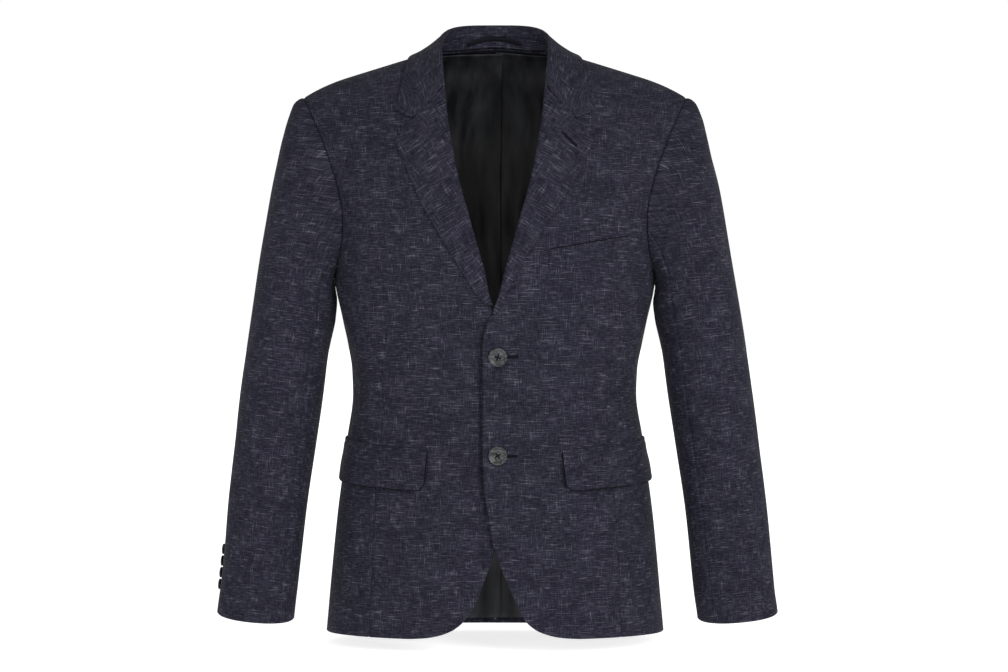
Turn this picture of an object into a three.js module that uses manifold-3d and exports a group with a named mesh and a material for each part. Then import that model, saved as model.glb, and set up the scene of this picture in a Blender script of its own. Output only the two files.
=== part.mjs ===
// Single-breasted two-button suit jacket, in the form it has when worn, with no wearer in it.
// Millimetres, +Z up. The front faces -Y and the wearer's left is +X.
// The origin lies midway between the neck points of the two shoulder seams.
import * as THREE from "three";
import { mergeVertices } from "three/addons/utils/BufferGeometryUtils.js";
import loadManifold from "manifold-3d";

const Manifold = await loadManifold();
Manifold.setup();

const DEG = Math.PI / 180;
const MERGE = 1e-4; // points this close are one

// Cloth and seams
const CLOTH = 2.0; // a body panel: cloth, canvas and facing together
const TRIM = 1.6; // a flap, a welt
const JET = 1.1; // the folded lip above a flap
const LINING = 1.0;
const SEAM = 0.5; // between two panels
const ARM_GAP = 1.2; // between the armhole and the sleeve
const LYING = 0.8; // between a panel and what lies on it
const NORMAL_STEP = 0.05;
const HALVINGS = 40; // steps of a search by halving

// The torso as horizontal rings: half its width, and how far the front and the back stand from the side line
const TORSO = table("z half front back", [
  [-692, 203, 122, 119],
  [-631, 197.5, 126, 119],
  [-573, 191.5, 127, 113],
  [-516, 185.4, 125, 102],
  [-458, 178, 119, 90],
  [-400, 170.4, 113, 84],
  [-372, 171.4, 112.5, 85],
  [-343, 176.4, 114, 89],
  [-314, 182.6, 118, 96],
  [-262, 192, 124, 107],
  [-190, 194, 128, 116],
  [-150, 194, 128, 118],
]);
const SQUARENESS = 2.35; // power of the rings' superellipse, 2 for a plain ellipse
const half = track(TORSO, "z", "half");
const depth = { front: track(TORSO, "z", "front"), back: track(TORSO, "z", "back") };

// The shoulder line, where front and back meet
const TIP_X = 229.5;
const RIDGE_Y = 6;
const RIDGE = { height: 34.3, slope: 0.316, round: 30, bend: 175, reach: 62, drop: 10, power: 2.2 };
const ridgeZ = (x) =>
  RIDGE.height -
  RIDGE.slope * Math.hypot(x, RIDGE.round) -
  RIDGE.drop * (Math.max(0, x - RIDGE.bend) / RIDGE.reach) ** RIDGE.power;

// Above its fullest level each face leans in towards the shoulder line
const CLIMB = 270; // surface parameter from that level to the shoulder line
const FACES = {
  front: { apex: -190, armTurn: 71.8, lean: 1.5 },
  back: { apex: -150, armTurn: 109, lean: 1.3 },
};
for (const face of Object.values(FACES)) {
  face.flare = TIP_X / ringPoint(face.armTurn, face.apex).x;
}

// Armhole, as turns round the torso from the centre front
const ARMPIT = { z: -262, joinZ: -248, frontRise: 62, backRise: 78 };
const FRONT_SEAM = table("z turn", [
  [-692, 58],
  [-520, 57],
  [-400, 58.5],
  [-300, 67],
  [ARMPIT.joinZ, armTurn("front", ARMPIT.joinZ)],
]);
const BACK_SEAM = table("z turn", [
  [-692, 124],
  [-520, 125],
  [-400, 124],
  [-300, 113],
  [ARMPIT.joinZ, armTurn("back", ARMPIT.joinZ)],
]);
const frontSeam = track(FRONT_SEAM, "z", "turn");
const backSeam = track(BACK_SEAM, "z", "turn");

// Where each front ends: hem curve, button edge, roll line of the lapel and neckline.
// left and right are distances from the middle towards that front's own side.
const FRONT_EDGE = table("z left right", [
  [-682, 100, 100],
  [-681, 85, 85],
  [-679, 71, 71],
  [-675.5, 59, 59],
  [-670, 47.5, 47.5],
  [-660, 36.5, 36],
  [-640, 26, 23.5],
  [-611, 13.5, 12],
  [-580, 1.5, 1],
  [-545, -5.5, -7],
  [-500, -12, -15],
  [-450, -13.4, -19],
  [-345, -13.4, -19],
  [-320, -10, -12],
  [-302, -3, -2],
  [-286, 3.5, 5],
  [-254, 11.5, 11.5],
  [-226, 19.5, 19.5],
  [-190, 29.5, 29.5],
  [-149, 41, 41],
  [-120, 47, 47],
  [-75, 54.5, 54.5],
  [-40, 58, 58],
  [-12, 63, 63],
  [6, 69, 69],
  [60, 73, 73],
]);
const BREAK = { low: -309, high: -303 }; // the lapel starts to turn between these
const GORGE_Z = -40; // where its roll line meets the collar
const ROLL_BACK = 4.6; // the panel stops this far short of the rolled edge
const HEM_Z = -682;
// How much lower the back hangs, by turn and height
const HEM_DROP = { most: 8, from: 60, full: 150, gone: -450 };

// Heights of the panels' rows, hem to shoulder
const LOW_ROWS = [
  -682, -681, -679, -675.5, -670, -660, -640, -611, -580, -545, -500, -450, -400, -372, -345, -320, -309, -303,
  -286, -268, -248,
];
const ARM_ROWS = { front: [-232, -212], back: [-225, -190] };
const CLIMB_ROWS = [0, 14, 28, 42, 55, 67, 79, 90]; // degrees of the lean
const FRONT_COLUMNS = 9;
const SIDE_COLUMNS = 5;
const BACK_COLUMNS = [0, 0.13, 0.25, 0.33, 0.37, 0.5, 0.66, 0.83, 1]; // the fifth meets the neck's corner
const SPARE_ROWS = new Set([-681, -679, -675.5, -670, -309, -303]); // only the fronts' edges need these

const OVERLAP = { lift: 2.7, flat: 26, faded: 84, low: -300, high: -225 };

// Neckline of the back: half its width on the shoulder line, and the lean it loses at the middle
const NECK = { half: 74, drop: 18, power: 0.6, centre: 20 };

// Lapel: its outer edge, and how much narrower the buttonhole side shows
const LAPEL_EDGE = table("z reach shift", [
  [-303, 2.5, 0],
  [-294, 8, 1],
  [-280, 17, 4],
  [-256, 31, 6],
  [-222, 51, 6],
  [-190, 70, 6],
  [-160, 88, 3],
  [-130, 102, 1],
  [-101, 115, 0],
]);
const LAPEL_TIP = { x: 115, z: -101 };
const LAPEL_FOOT = { left: -302.5, right: -293 };
const LAPEL_ROWS = [0, 0.05, 0.13, 0.25, 0.4, 0.55, 0.7, 0.84, 0.94, 1];
const LAPEL_COLUMNS = [0, 0.12, 0.28, 0.5, 0.75, 1];
const NOTCH = { x: 93, z: -77.5, gap: 0.4 };

// A rolled fold of cloth: its outer radius, the steps of the turn and how soon a wide leaf settles
const ROLL = { radius: 3.4, least: 2.1, share: 0.33, steps: [-90, -45, 0, 45, 90], relax: 0.075 };

// Collar, centre back to gorge: its fold in space, and its leaf edge as seen from above
const COLLAR = table("at foldX foldY foldZ edgeX edgeY relax", [
  [0, 0, 44, 44, 0, 66, 1.1],
  [0.15, 20, 42.5, 43.8, 33, 64, 1.1],
  [0.3, 38, 35, 42.2, 62, 56, 1.1],
  [0.45, 53, 21, 37.5, 80, 38, 1.2],
  [0.6, 62, 1, 27, 91.5, 8, 1.4],
  [0.72, 63.5, -22, 15.5, 102, -20, 1.9],
  [0.84, 62, -48, 0, 105.5, -48, 3],
  [0.93, 60, -67, -19, 109, -69, 4.5],
  [1, 58.2, -82.5, -39.3, 115, -84.4, 6],
]);
const COLLAR_STATIONS = [0, 0.12, 0.24, 0.36, 0.48, 0.6, 0.7, 0.79, 0.86, 0.92, 0.965, 1];
const COLLAR_LYING = 1.4;
const COLLAR_TURN = { from: 0.55, to: 1 }; // between these the fold tips from upright to lying on the front
const COLLAR_END = { overFades: 0.85, kinkFrom: 0.86 };
const TANGENT_STEP = 0.03;
const NOTCH_SHARE = 0.6; // of the collar's end, from its fold to its tip
const COLLAR_COLUMNS = [0, 0.2, 0.4, NOTCH_SHARE, 0.8, 1];
const STAND_GAP = 1.1;
const STAND_END = 0.9; // station where the stand has run out
// The fall's cloth comes over the fold and this far down inside
const STAND_SHARE = { reach: 13, most: 0.45 };

const LOOP = { half: 32, z: 17.5, rise: 7.5, tall: 4.5, thick: 1.1, off: 2.4, bow: 2.2, curve: 0.0085 };
const LOOP_STEPS = 10;

// Back lining: its hem above the cloth's, its depth inside the panel, and the pleat at the middle
const BACK_LINING = { hem: -675, depth: 3.9, short: 5.5, underArm: 2.5, pleat: 7, over: 2.4, fade: 17, reach: 0.965 };

// Sleeve rings, shoulder to cuff: outer and inner point seen from the front, half depth and its middle
const SLEEVE = table("at outX outZ inX inZ deep mid", [
  [0, 229.9, -45.5, 192.4, -262, 61, 3],
  [1, 240, -51.5, 192.6, -264.5, 63, 2],
  [2, 248, -70, 192.7, -268, 65, 1],
  [3, 257, -104, 192.6, -273, 66, 0],
  [4, 266, -147, 191.6, -280, 65.5, -1],
  [5, 276, -205, 189.8, -292, 64, -2],
  [6, 286, -268, 191, -312, 61.5, -3],
  [7, 297, -340, 199.5, -353, 57.5, -3],
  [8, 304.5, -398, 206.5, -405, 54, -4],
  [9, 311, -458, 215, -464, 50.5, -9],
  [10, 317, -516, 223, -522, 47.5, -17],
  [11, 321.5, -573, 229.3, -579.5, 45, -26],
  [12, 327, -631, 235.5, -638, 43.5, -35],
  [13, 330, -657.5, 238.5, -666, 43, -40],
]);
const SLEEVE_END = SLEEVE.at(-1).at;
const SLEEVE_ROWS = [0, 0.5, 1, 1.6, 2.3, 3, 3.8, 4.6, 5.4, 6.2, 7, 7.8, 8.6, 9.6, 10.8, 12, 13];
const SLEEVE_STEP = { at: 0.02, phi: 0.5 }; // for its normals
const TOP_COLUMNS = 14;
const UNDER_COLUMNS = 9;
// The front of the cuff dips, and the wearer's left sleeve swings out a little more
const SLEEVE_SHAPE = { round: 0.9, seam: 0.8, swing: { outer: 6, inner: 2.2 }, dip: 4.5, dipFrom: 9 };
const CAP_END = 6; // by this ring the armhole's own outline has faded out
const SLEEVE_SEAMS = table("at front back", [
  [0, 118, 246],
  [6, 126, 250],
  [9, 128, 262],
  [13, 128, 300],
]);

// A button's outline, centre of its back round to the middle of its face, as shares of its radius and thickness
const BUTTON_PROFILE = table("out up", [
  [0, 0],
  [0.62, 0],
  [1, 0.42],
  [1, 0.75],
  [0.93, 1],
  [0.78, 0.96],
  [0.66, 0.62],
  [0, 0.62],
]);
const BUTTON_HOLES = { bore: 0.085, reach: 0.21, tall: 3, sides: 6 };
const BUTTONS = { x: 3.5, z: [-354, -469], radius: 11, thick: 3.4, off: 0.75, segments: 20 };
const CUFF_BUTTONS = {
  count: 4,
  radius: 6.4,
  thick: 2.6,
  off: 0.5,
  first: -628, // height of the lowest
  pitch: 13.8,
  turn: { left: 36, right: 9 },
  segments: 12,
};

// Pocket flaps: where they start on the front, where on the side they end, and their size
const flaps = {
  front: 79,
  topFront: -468,
  topSide: -457.5,
  deepFront: 42,
  deepSide: 44,
  lastTurn: 90,
  length: 150,
  corner: 12,
  stand: 0.4,
  jet: 5.5,
  jetStand: 0.15,
};
const FLAP_SHARES = [0, 0.012, 0.035, 0.08, 0.2, 0.35, 0.5, 0.65, 0.8, 0.92, 0.965, 0.988, 1];
const FLAP_TIGHT = new Set([1, 2, 10, 11]); // steps that only the rounded corners need
const STRIP_ROWS = [0, 0.5, 1];
const BREAST = { inX: 62, inZ: -230, outX: 158, outZ: -213.5, inDeep: 19.5, outDeep: 22.5, slant: 4, steps: 6 };

function table(names, rows) {
  const columns = names.split(" ");
  return rows.map((row) => Object.fromEntries(columns.map((name, i) => [name, row[i]])));
}

// A smooth curve through one column of a table that never overshoots its points
function track(rows, key, column) {
  const at = rows.map((row) => row[key]);
  const value = rows.map((row) => row[column]);
  const chord = at.slice(1).map((a, i) => (value[i + 1] - value[i]) / (a - at[i]));
  const slope = value.map((_, i) => {
    const before = chord[Math.max(0, i - 1)];
    const after = chord[Math.min(chord.length - 1, i)];
    return before * after <= 0 ? 0 : (2 * before * after) / (before + after);
  });
  return (where) => {
    const x = Math.min(Math.max(where, at[0]), at.at(-1));
    let i = 0;
    while (i < at.length - 2 && x > at[i + 1]) i++;
    const width = at[i + 1] - at[i];
    const s = (x - at[i]) / width;
    return (
      value[i] * (1 + 2 * s) * (1 - s) ** 2 +
      value[i + 1] * s * s * (3 - 2 * s) +
      width * s * (1 - s) * (slope[i] * (1 - s) - slope[i + 1] * s)
    );
  };
}

const mix = (a, b, s) => a + (b - a) * s;
const span = (n) => Array.from({ length: n + 1 }, (_, i) => i / n);
const ease = (low, high, x) => THREE.MathUtils.smoothstep(x, low, high);

// The torso's ring at a height, as seen from above; turn runs from 0 at the front to 180 at the back
function ringPoint(turn, z) {
  const reach = depth[turn <= 90 ? "front" : "back"](z);
  const sine = Math.sin(turn * DEG);
  const cosine = Math.cos(turn * DEG);
  const radius =
    ((Math.abs(cosine) / reach) ** SQUARENESS + (Math.abs(sine) / half(z)) ** SQUARENESS) ** (-1 / SQUARENESS);
  return { x: radius * sine, y: -radius * cosine, radius };
}

// A point of the torso. Up to a face's fullest level, climb is the height
function torsoPoint(turn, climb) {
  const side = turn < 0 ? -1 : 1;
  const around = Math.abs(turn);
  const face = around <= 90 ? FACES.front : FACES.back;
  const base = ringPoint(around, Math.min(climb, face.apex));
  if (climb <= face.apex) return new THREE.Vector3(side * base.x, base.y, climb);
  const angle = ((climb - face.apex) / CLIMB) * 90 * DEG;
  const rise = Math.sin(angle);
  const ridgeX = base.x * face.flare;
  return new THREE.Vector3(
    side * mix(base.x, ridgeX, rise ** face.lean),
    mix(RIDGE_Y, base.y, Math.cos(angle)),
    mix(face.apex, ridgeZ(ridgeX), rise),
  );
}

function torsoNormal(turn, climb) {
  const step = NORMAL_STEP;
  const across = torsoPoint(turn + step, climb).sub(torsoPoint(turn - step, climb));
  const up = torsoPoint(turn, climb + step).sub(torsoPoint(turn, climb - step));
  return across.cross(up).normalize();
}

// The climb that reaches a height on one line of the torso
function climbAt(turn, z) {
  const face = Math.abs(turn) <= 90 ? FACES.front : FACES.back;
  if (z <= face.apex) return z;
  const top = ridgeZ(ringPoint(Math.abs(turn), face.apex).x * face.flare);
  return face.apex + (Math.asin(Math.min(1, (z - face.apex) / (top - face.apex))) / DEG / 90) * CLIMB;
}

// The climb at which a panel stops, half a seam short of the shoulder line
function climbTop(turn) {
  const face = Math.abs(turn) <= 90 ? FACES.front : FACES.back;
  const reach = Math.abs(ringPoint(Math.abs(turn), face.apex).y - RIDGE_Y);
  return face.apex + (1 - Math.asin(SEAM / 2 / reach) / DEG / 90) * CLIMB;
}

// The turn at which the torso's front is x wide at a height
function turnAt(x, z) {
  let [near, far] = [0, 90];
  for (let i = 0; i < HALVINGS; i++) {
    const middle = (near + far) / 2;
    if (torsoPoint(middle, climbAt(middle, z)).x < Math.abs(x)) near = middle;
    else far = middle;
  }
  return Math.sign(x || 1) * near;
}

// How far the buttoned front is lifted over the one below it
function overlapLift(side, x, z) {
  if (side < 0) return 0;
  return OVERLAP.lift * (1 - ease(OVERLAP.flat, OVERLAP.faded, x)) * (1 - ease(OVERLAP.low, OVERLAP.high, z));
}

// A surface sample: point and outward normal, lifted off the torso
function sample(turn, climb, lift = 0) {
  const n = torsoNormal(turn, climb);
  return { p: torsoPoint(turn, climb).addScaledVector(n, lift), n };
}

// The same on one front, by the place it has seen from the front; side is 1 on the wearer's left
function onFront(side, x, z, lift = 0) {
  const turn = turnAt(side * x, z);
  return sample(turn, climbAt(turn, z), lift + overlapLift(side, x, z));
}

// Closed wall from a grid of samples, going inwards from their points. Rows before turned split the other way,
// so that the two halves of the garment mirror each other
function wall(grid, thickness, turned = 0) {
  const rows = grid.length;
  const columns = grid[0].length;
  const outer = grid.flat().map(({ p }) => p);
  const inner = grid.flat().map(({ p, n }) => p.clone().addScaledVector(n, -thickness));
  const positions = [...outer, ...inner].flatMap((p) => p.toArray());
  const behind = rows * columns;
  const at = (i, j) => i * columns + j;
  const index = [];
  const quad = (a, b, c, d) => index.push(a, b, c, a, c, d);
  for (let i = 0; i < rows - 1; i++) {
    for (let j = 0; j < columns - 1; j++) {
      const ring = [at(i, j), at(i, j + 1), at(i + 1, j + 1), at(i + 1, j)];
      if (i < turned) ring.push(ring.shift());
      const [a, b, c, d] = ring;
      quad(a, b, c, d);
      quad(behind + a, behind + d, behind + c, behind + b);
    }
  }
  const rim = [
    ...span(columns - 1).slice(1).map((_, j) => [at(0, j), at(0, j + 1)]),
    ...span(rows - 1).slice(1).map((_, i) => [at(i, columns - 1), at(i + 1, columns - 1)]),
    ...span(columns - 1).slice(1).map((_, j) => [at(rows - 1, j + 1), at(rows - 1, j)]),
    ...span(rows - 1).slice(1).map((_, i) => [at(i + 1, 0), at(i, 0)]),
  ];
  for (const [a, b] of rim) quad(b, a, behind + a, behind + b);
  return outward(solid(positions, index));
}

function solid(positions, index) {
  const geometry = new THREE.BufferGeometry();
  geometry.setAttribute("position", new THREE.Float32BufferAttribute(positions, 3));
  geometry.setIndex(index);
  return geometry;
}

// Turns the faces round if the wall came out inside out
function outward(geometry) {
  const index = geometry.getIndex().array;
  const place = geometry.getAttribute("position");
  const corner = (i) => new THREE.Vector3().fromBufferAttribute(place, index[i]);
  let volume = 0;
  for (let i = 0; i < index.length; i += 3) volume += corner(i).dot(corner(i + 1).cross(corner(i + 2)));
  if (volume < 0) {
    for (let i = 0; i < index.length; i += 3) [index[i + 1], index[i + 2]] = [index[i + 2], index[i + 1]];
  }
  geometry.computeVertexNormals();
  return geometry;
}

// Angle that a length along the ring takes up
const turnOf = (length, turn, z) => length / ringPoint(turn, z).radius / DEG;

// Armhole as turns: at and above the fullest level it runs straight up, below it sweeps round to the armpit
function armTurn(faceName, z) {
  const rise = ARMPIT[`${faceName}Rise`];
  const reach = FACES[faceName].armTurn - 90;
  const share = THREE.MathUtils.clamp((z - ARMPIT.z) / rise, 0, 1);
  return 90 + reach * Math.sqrt(1 - (1 - share) ** 2);
}

// Height of the armhole's bottom by turn
function armZ(turn) {
  const faceName = turn <= 90 ? "front" : "back";
  const share = (turn - 90) / (FACES[faceName].armTurn - 90);
  return ARMPIT.z + ARMPIT[`${faceName}Rise`] * (1 - Math.sqrt(1 - share * share));
}

// The drop of the back's hem, which dies out towards the waist
const sag = (turn, z) =>
  -HEM_DROP.most * ease(HEM_DROP.from, HEM_DROP.full, Math.abs(turn)) * (1 - ease(HEM_Z, HEM_DROP.gone, z));

const FRONT_ROWS = [
  ...LOW_ROWS.map((z) => ({ z })),
  ...ARM_ROWS.front.map((z) => ({ z })),
  ...CLIMB_ROWS.map((angle) => ({ angle })),
];

const EDGE_TURNS = [-20, 75]; // the edge lies between these
const edgeTracks = { left: track(FRONT_EDGE, "z", "left"), right: track(FRONT_EDGE, "z", "right") };

// Turn of a front's inner edge on a row
function innerTurn(side, climb) {
  const edge = edgeTracks[side > 0 ? "left" : "right"];
  let [near, far] = EDGE_TURNS;
  for (let i = 0; i < HALVINGS; i++) {
    const middle = (near + far) / 2;
    const { x, z } = torsoPoint(middle, climb);
    if (x < edge(z) + ROLL_BACK * ease(BREAK.low, BREAK.high, z)) near = middle;
    else far = middle;
  }
  return near;
}

function frontPanel(side) {
  const grid = FRONT_ROWS.map(({ z, angle }) => {
    const row = z ?? FACES.front.apex + (angle / 90) * CLIMB;
    const inner = innerTurn(side, row);
    const outer = row <= ARMPIT.joinZ ? frontSeam(row) - turnOf(SEAM / 2, 60, row) : armTurn("front", row);
    return span(FRONT_COLUMNS).map((s) => {
      const turn = mix(inner, outer, s);
      const climb = Math.min(row, climbTop(turn));
      const { x } = torsoPoint(turn, climb);
      return sample(side * turn, climb + sag(turn, row), overlapLift(side, x, row));
    });
  });
  return wall(grid, CLOTH, turnedRows(side));
}

function sidePanel(side) {
  const rows = LOW_ROWS.filter((z) => !SPARE_ROWS.has(z));
  const ends = (z) => [frontSeam(z) + turnOf(SEAM / 2, 60, z), backSeam(z) - turnOf(SEAM / 2, 120, z)];
  const grid = rows.map((z) => {
    const share = (z - HEM_Z) / (ARMPIT.joinZ - HEM_Z);
    return span(SIDE_COLUMNS).map((s) => {
      const top = armZ(mix(...ends(ARMPIT.joinZ), s));
      const level = mix(HEM_Z, top, share);
      const turn = mix(...ends(level), s);
      return sample(side * turn, level + sag(turn, level));
    });
  });
  return wall(grid, CLOTH, turnedRows(side));
}

// Lean at which a line of the back stops: the shoulder line, or the neckline near the middle
function backLean(turn) {
  const across = (ringPoint(turn, FACES.back.apex).x * FACES.back.flare) / NECK.half;
  return 90 - NECK.drop * Math.max(0, 1 - across * across) ** NECK.power;
}

const BACK_ROWS = [
  ...LOW_ROWS.filter((z) => !SPARE_ROWS.has(z)).map((z) => ({ z })),
  ...ARM_ROWS.back.map((z) => ({ z })),
  ...CLIMB_ROWS.map((angle) => ({ angle })),
];

// Turn of the back's outer edge on a row: the side seam, then the armhole
function backOuter(level) {
  return level <= ARMPIT.joinZ ? backSeam(level) + turnOf(SEAM / 2, 120, level) : armTurn("back", level);
}

function backPanel(side) {
  const grid = BACK_ROWS.map(({ z, angle }) => {
    const level = z ?? FACES.back.apex;
    const last = 180 - turnOf(SEAM / 2, 180, level);
    return BACK_COLUMNS.map((s) => {
      const turn = mix(last, backOuter(level), s);
      const lean = angle === undefined ? 0 : (angle / 90) * backLean(turn);
      const leaning = Math.min(FACES.back.apex + (lean / 90) * CLIMB, climbTop(turn));
      const climb = angle === undefined ? level : leaning;
      return sample(side * turn, climb + sag(turn, level));
    });
  });
  return wall(grid, CLOTH, turnedRows(side));
}

// The lining inside the back. The wearer's right half runs over the left one in a pleat
function backLining(side) {
  const rows = [{ z: BACK_LINING.hem }, ...BACK_ROWS.filter(({ z }) => z === undefined || z > BACK_LINING.hem)];
  const grid = rows.map(({ z, angle }) => {
    const level = z ?? FACES.back.apex;
    const pleat = side < 0 ? BACK_LINING.pleat : -SEAM;
    const outer = backOuter(level) + turnOf(BACK_LINING.short, 120, level);
    return BACK_COLUMNS.map((s) => {
      const turn = s === 0 ? 180 + turnOf(pleat, 180, level) : mix(180, outer, s);
      const lean = angle === undefined ? 0 : (angle / 90) * backLean(Math.min(turn, 180));
      const top = FACES.back.apex + (lean / 90) * CLIMB;
      const climb = angle === undefined ? level : mix(FACES.back.apex, top, BACK_LINING.reach);
      const nearness = 1 - ease(0, BACK_LINING.fade, 180 - turn);
      const underArm = BACK_LINING.underArm * s ** 4;
      const depthIn = BACK_LINING.depth + underArm + (side < 0 ? BACK_LINING.over * nearness : 0);
      return sample(side * turn, climb + sag(turn, level), -depthIn);
    });
  });
  return wall(grid, LINING, turnedRows(side));
}

// Wall on a grid of bare points. Its thickness goes to the side that sign picks
function skin(grid, thickness, sign, turned = 0) {
  // Direction of a line of points at one of them, by the points beside it or the next two at an end
  const heading = (list, i) => {
    const last = list.length - 1;
    if (i > 0 && i < last) return list[i + 1].clone().sub(list[i - 1]);
    const [one, two] = i === 0 ? [1, 2] : [last - 1, last - 2];
    const away = list[one].clone().sub(list[i]);
    if (last > 1) away.multiplyScalar(4).add(list[i]).sub(list[two]);
    return i === 0 ? away : away.negate();
  };
  const samples = grid.map((row, i) =>
    row.map((p, j) => {
      const up = heading(grid.map((line) => line[j]), i);
      const n = heading(row, j).cross(up).normalize();
      return { p, n: n.multiplyScalar(sign) };
    }),
  );
  return wall(samples, thickness, turned);
}

// How many rows of a wall on one side of the garment split the other way
const turnedRows = (side) => (side < 0 ? Infinity : 0);

// Points round a rolled fold. along points from the fold into the cloth, out from the inner layer to the outer
function rollPoints(fold, along, out, radius) {
  const centre = fold.clone().addScaledVector(along, radius);
  return ROLL.steps.map((angle) =>
    centre
      .clone()
      .addScaledVector(out, radius * Math.sin(angle * DEG))
      .addScaledVector(along, -radius * Math.cos(angle * DEG)),
  );
}

// From the end of a roll, a layer that settles on the panel: each step's point eases from the roll to lying
function settle(from, lying, shares, relax) {
  const gap = from.clone().sub(lying[0]);
  return shares.slice(1).map((s, i) => lying[i + 1].clone().addScaledVector(gap, (1 - s) ** relax));
}

function lapel(side) {
  const name = side > 0 ? "left" : "right";
  const reach = track(LAPEL_EDGE, "z", "reach");
  const shift = track(LAPEL_EDGE, "z", "shift");
  const foot = LAPEL_FOOT[name];
  const grid = LAPEL_ROWS.map((t) => {
    const zRoll = mix(foot, GORGE_Z, t);
    const zEdge = mix(foot, LAPEL_TIP.z, t);
    const from = { x: edgeTracks[name](zRoll), z: zRoll };
    const to = { x: reach(zEdge) - side * shift(zEdge), z: zEdge };
    const width = Math.hypot(to.x - from.x, to.z - from.z);
    const radius = Math.max(ROLL.least, Math.min(ROLL.radius, width * ROLL.share));
    const place = (share, lift) => onFront(side, mix(from.x, to.x, share), mix(from.z, to.z, share), lift);
    const start = place(0, radius - CLOTH);
    const along = place(radius / width, radius - CLOTH).p.sub(start.p).normalize();
    const roll = rollPoints(start.p, along, start.n, radius);
    const shares = LAPEL_COLUMNS.map((s) => mix(radius / width, 1, s));
    const lying = shares.map((share) => place(share, LYING + CLOTH).p);
    return [...roll, ...settle(roll.at(-1), lying, LAPEL_COLUMNS, Math.max(1, ROLL.relax * width))];
  });
  return skin(grid, CLOTH, side, turnedRows(side));
}

// The torso's place under a point seen from above
function below(x, y) {
  const face = y < RIDGE_Y ? FACES.front : FACES.back;
  let [near, far] = y < RIDGE_Y ? [0, 90] : [180, 90];
  const climbFor = (turn) => {
    const reach = ringPoint(turn, face.apex).y - RIDGE_Y;
    return face.apex + (Math.acos(Math.min(1, Math.abs((y - RIDGE_Y) / reach))) / DEG / 90) * CLIMB;
  };
  for (let i = 0; i < HALVINGS; i++) {
    const middle = (near + far) / 2;
    if (torsoPoint(middle, climbFor(middle)).x < Math.abs(x)) near = middle;
    else far = middle;
  }
  return { turn: Math.sign(x || 1) * near, climb: climbFor(near) };
}

const collarTracks = Object.fromEntries(Object.keys(COLLAR[0]).map((key) => [key, track(COLLAR, "at", key)]));

// One station of the collar: the roll over its fold, the foot of the stand, and the leaf to its edge
function collarStation(at) {
  const side = at < 0 ? -1 : 1;
  const u = Math.abs(at);
  const value = (key) => collarTracks[key](u);
  const foldAt = (w) => {
    const flip = w < 0 ? -1 : 1;
    const v = Math.min(Math.abs(w), 1);
    return new THREE.Vector3(flip * collarTracks.foldX(v), collarTracks.foldY(v), collarTracks.foldZ(v));
  };
  const surface = (x, y, lift) => {
    const { turn, climb } = below(x, y);
    return sample(turn, climb, lift);
  };
  const edge = { x: side * value("edgeX"), y: value("edgeY") };
  const fold = foldAt(at);
  const ground = surface(fold.x, fold.y, 0);
  const blend = ease(COLLAR_TURN.from, COLLAR_TURN.to, u);
  fold.addScaledVector(ground.n, (ROLL.radius - CLOTH) * blend);
  const tangent = foldAt(at + TANGENT_STEP).sub(foldAt(at - TANGENT_STEP)).normalize();
  const leaf = surface(edge.x, edge.y, COLLAR_LYING + CLOTH);
  const along = leaf.p.clone().sub(fold).normalize();
  const tilted = along.lerp(new THREE.Vector3(0, 0, -1), 0.5 * (1 - blend));
  tilted.addScaledVector(tangent, -tilted.dot(tangent)).normalize();
  const out = tangent.clone().cross(tilted).normalize();
  const roll = rollPoints(fold, tilted, out, ROLL.radius);
  return { u, side, edge, fold, roll, surface, out };
}

// Foot of the stand at a station: just inside the panels' neckline
function standFoot({ fold, out }) {
  const outward = new THREE.Vector3(out.x, out.y, 0).normalize();
  const seam = neckSeam(Math.abs(fold.x), fold.y);
  seam.x *= Math.sign(fold.x) || 1;
  return seam.addScaledVector(outward, -(CLOTH + STAND_GAP));
}

// The neckline's point beside a point of the collar's fold, on the wearer's left
function neckSeam(x, y) {
  if (y < RIDGE_Y) {
    let [low, high] = [GORGE_Z - ROLL.radius, ridgeZ(NECK.half)];
    for (let i = 0; i < HALVINGS; i++) {
      const z = (low + high) / 2;
      if (onFront(1, edgeTracks.left(z) + ROLL_BACK, z).p.y < y) low = z;
      else high = z;
    }
    return onFront(1, edgeTracks.left(low) + ROLL_BACK, low).p;
  }
  let [near, far] = [180, FACES.back.armTurn];
  const centreY = RIDGE_Y - NECK.centre;
  for (let i = 0; i < HALVINGS; i++) {
    const turn = (near + far) / 2;
    const p = torsoPoint(turn, FACES.back.apex + (backLean(turn) / 90) * CLIMB);
    if (Math.atan2(p.x, p.y - centreY) < Math.atan2(x, y - centreY)) near = turn;
    else far = turn;
  }
  return torsoPoint(near, FACES.back.apex + (backLean(near) / 90) * CLIMB);
}

// Share of the way from the fold to the foot that the fall's own cloth takes
function overShare(top, foot) {
  return Math.min(STAND_SHARE.most, STAND_SHARE.reach / top.distanceTo(foot));
}

const stations = [...COLLAR_STATIONS.slice(1).map((u) => -u).reverse(), ...COLLAR_STATIONS];

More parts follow.
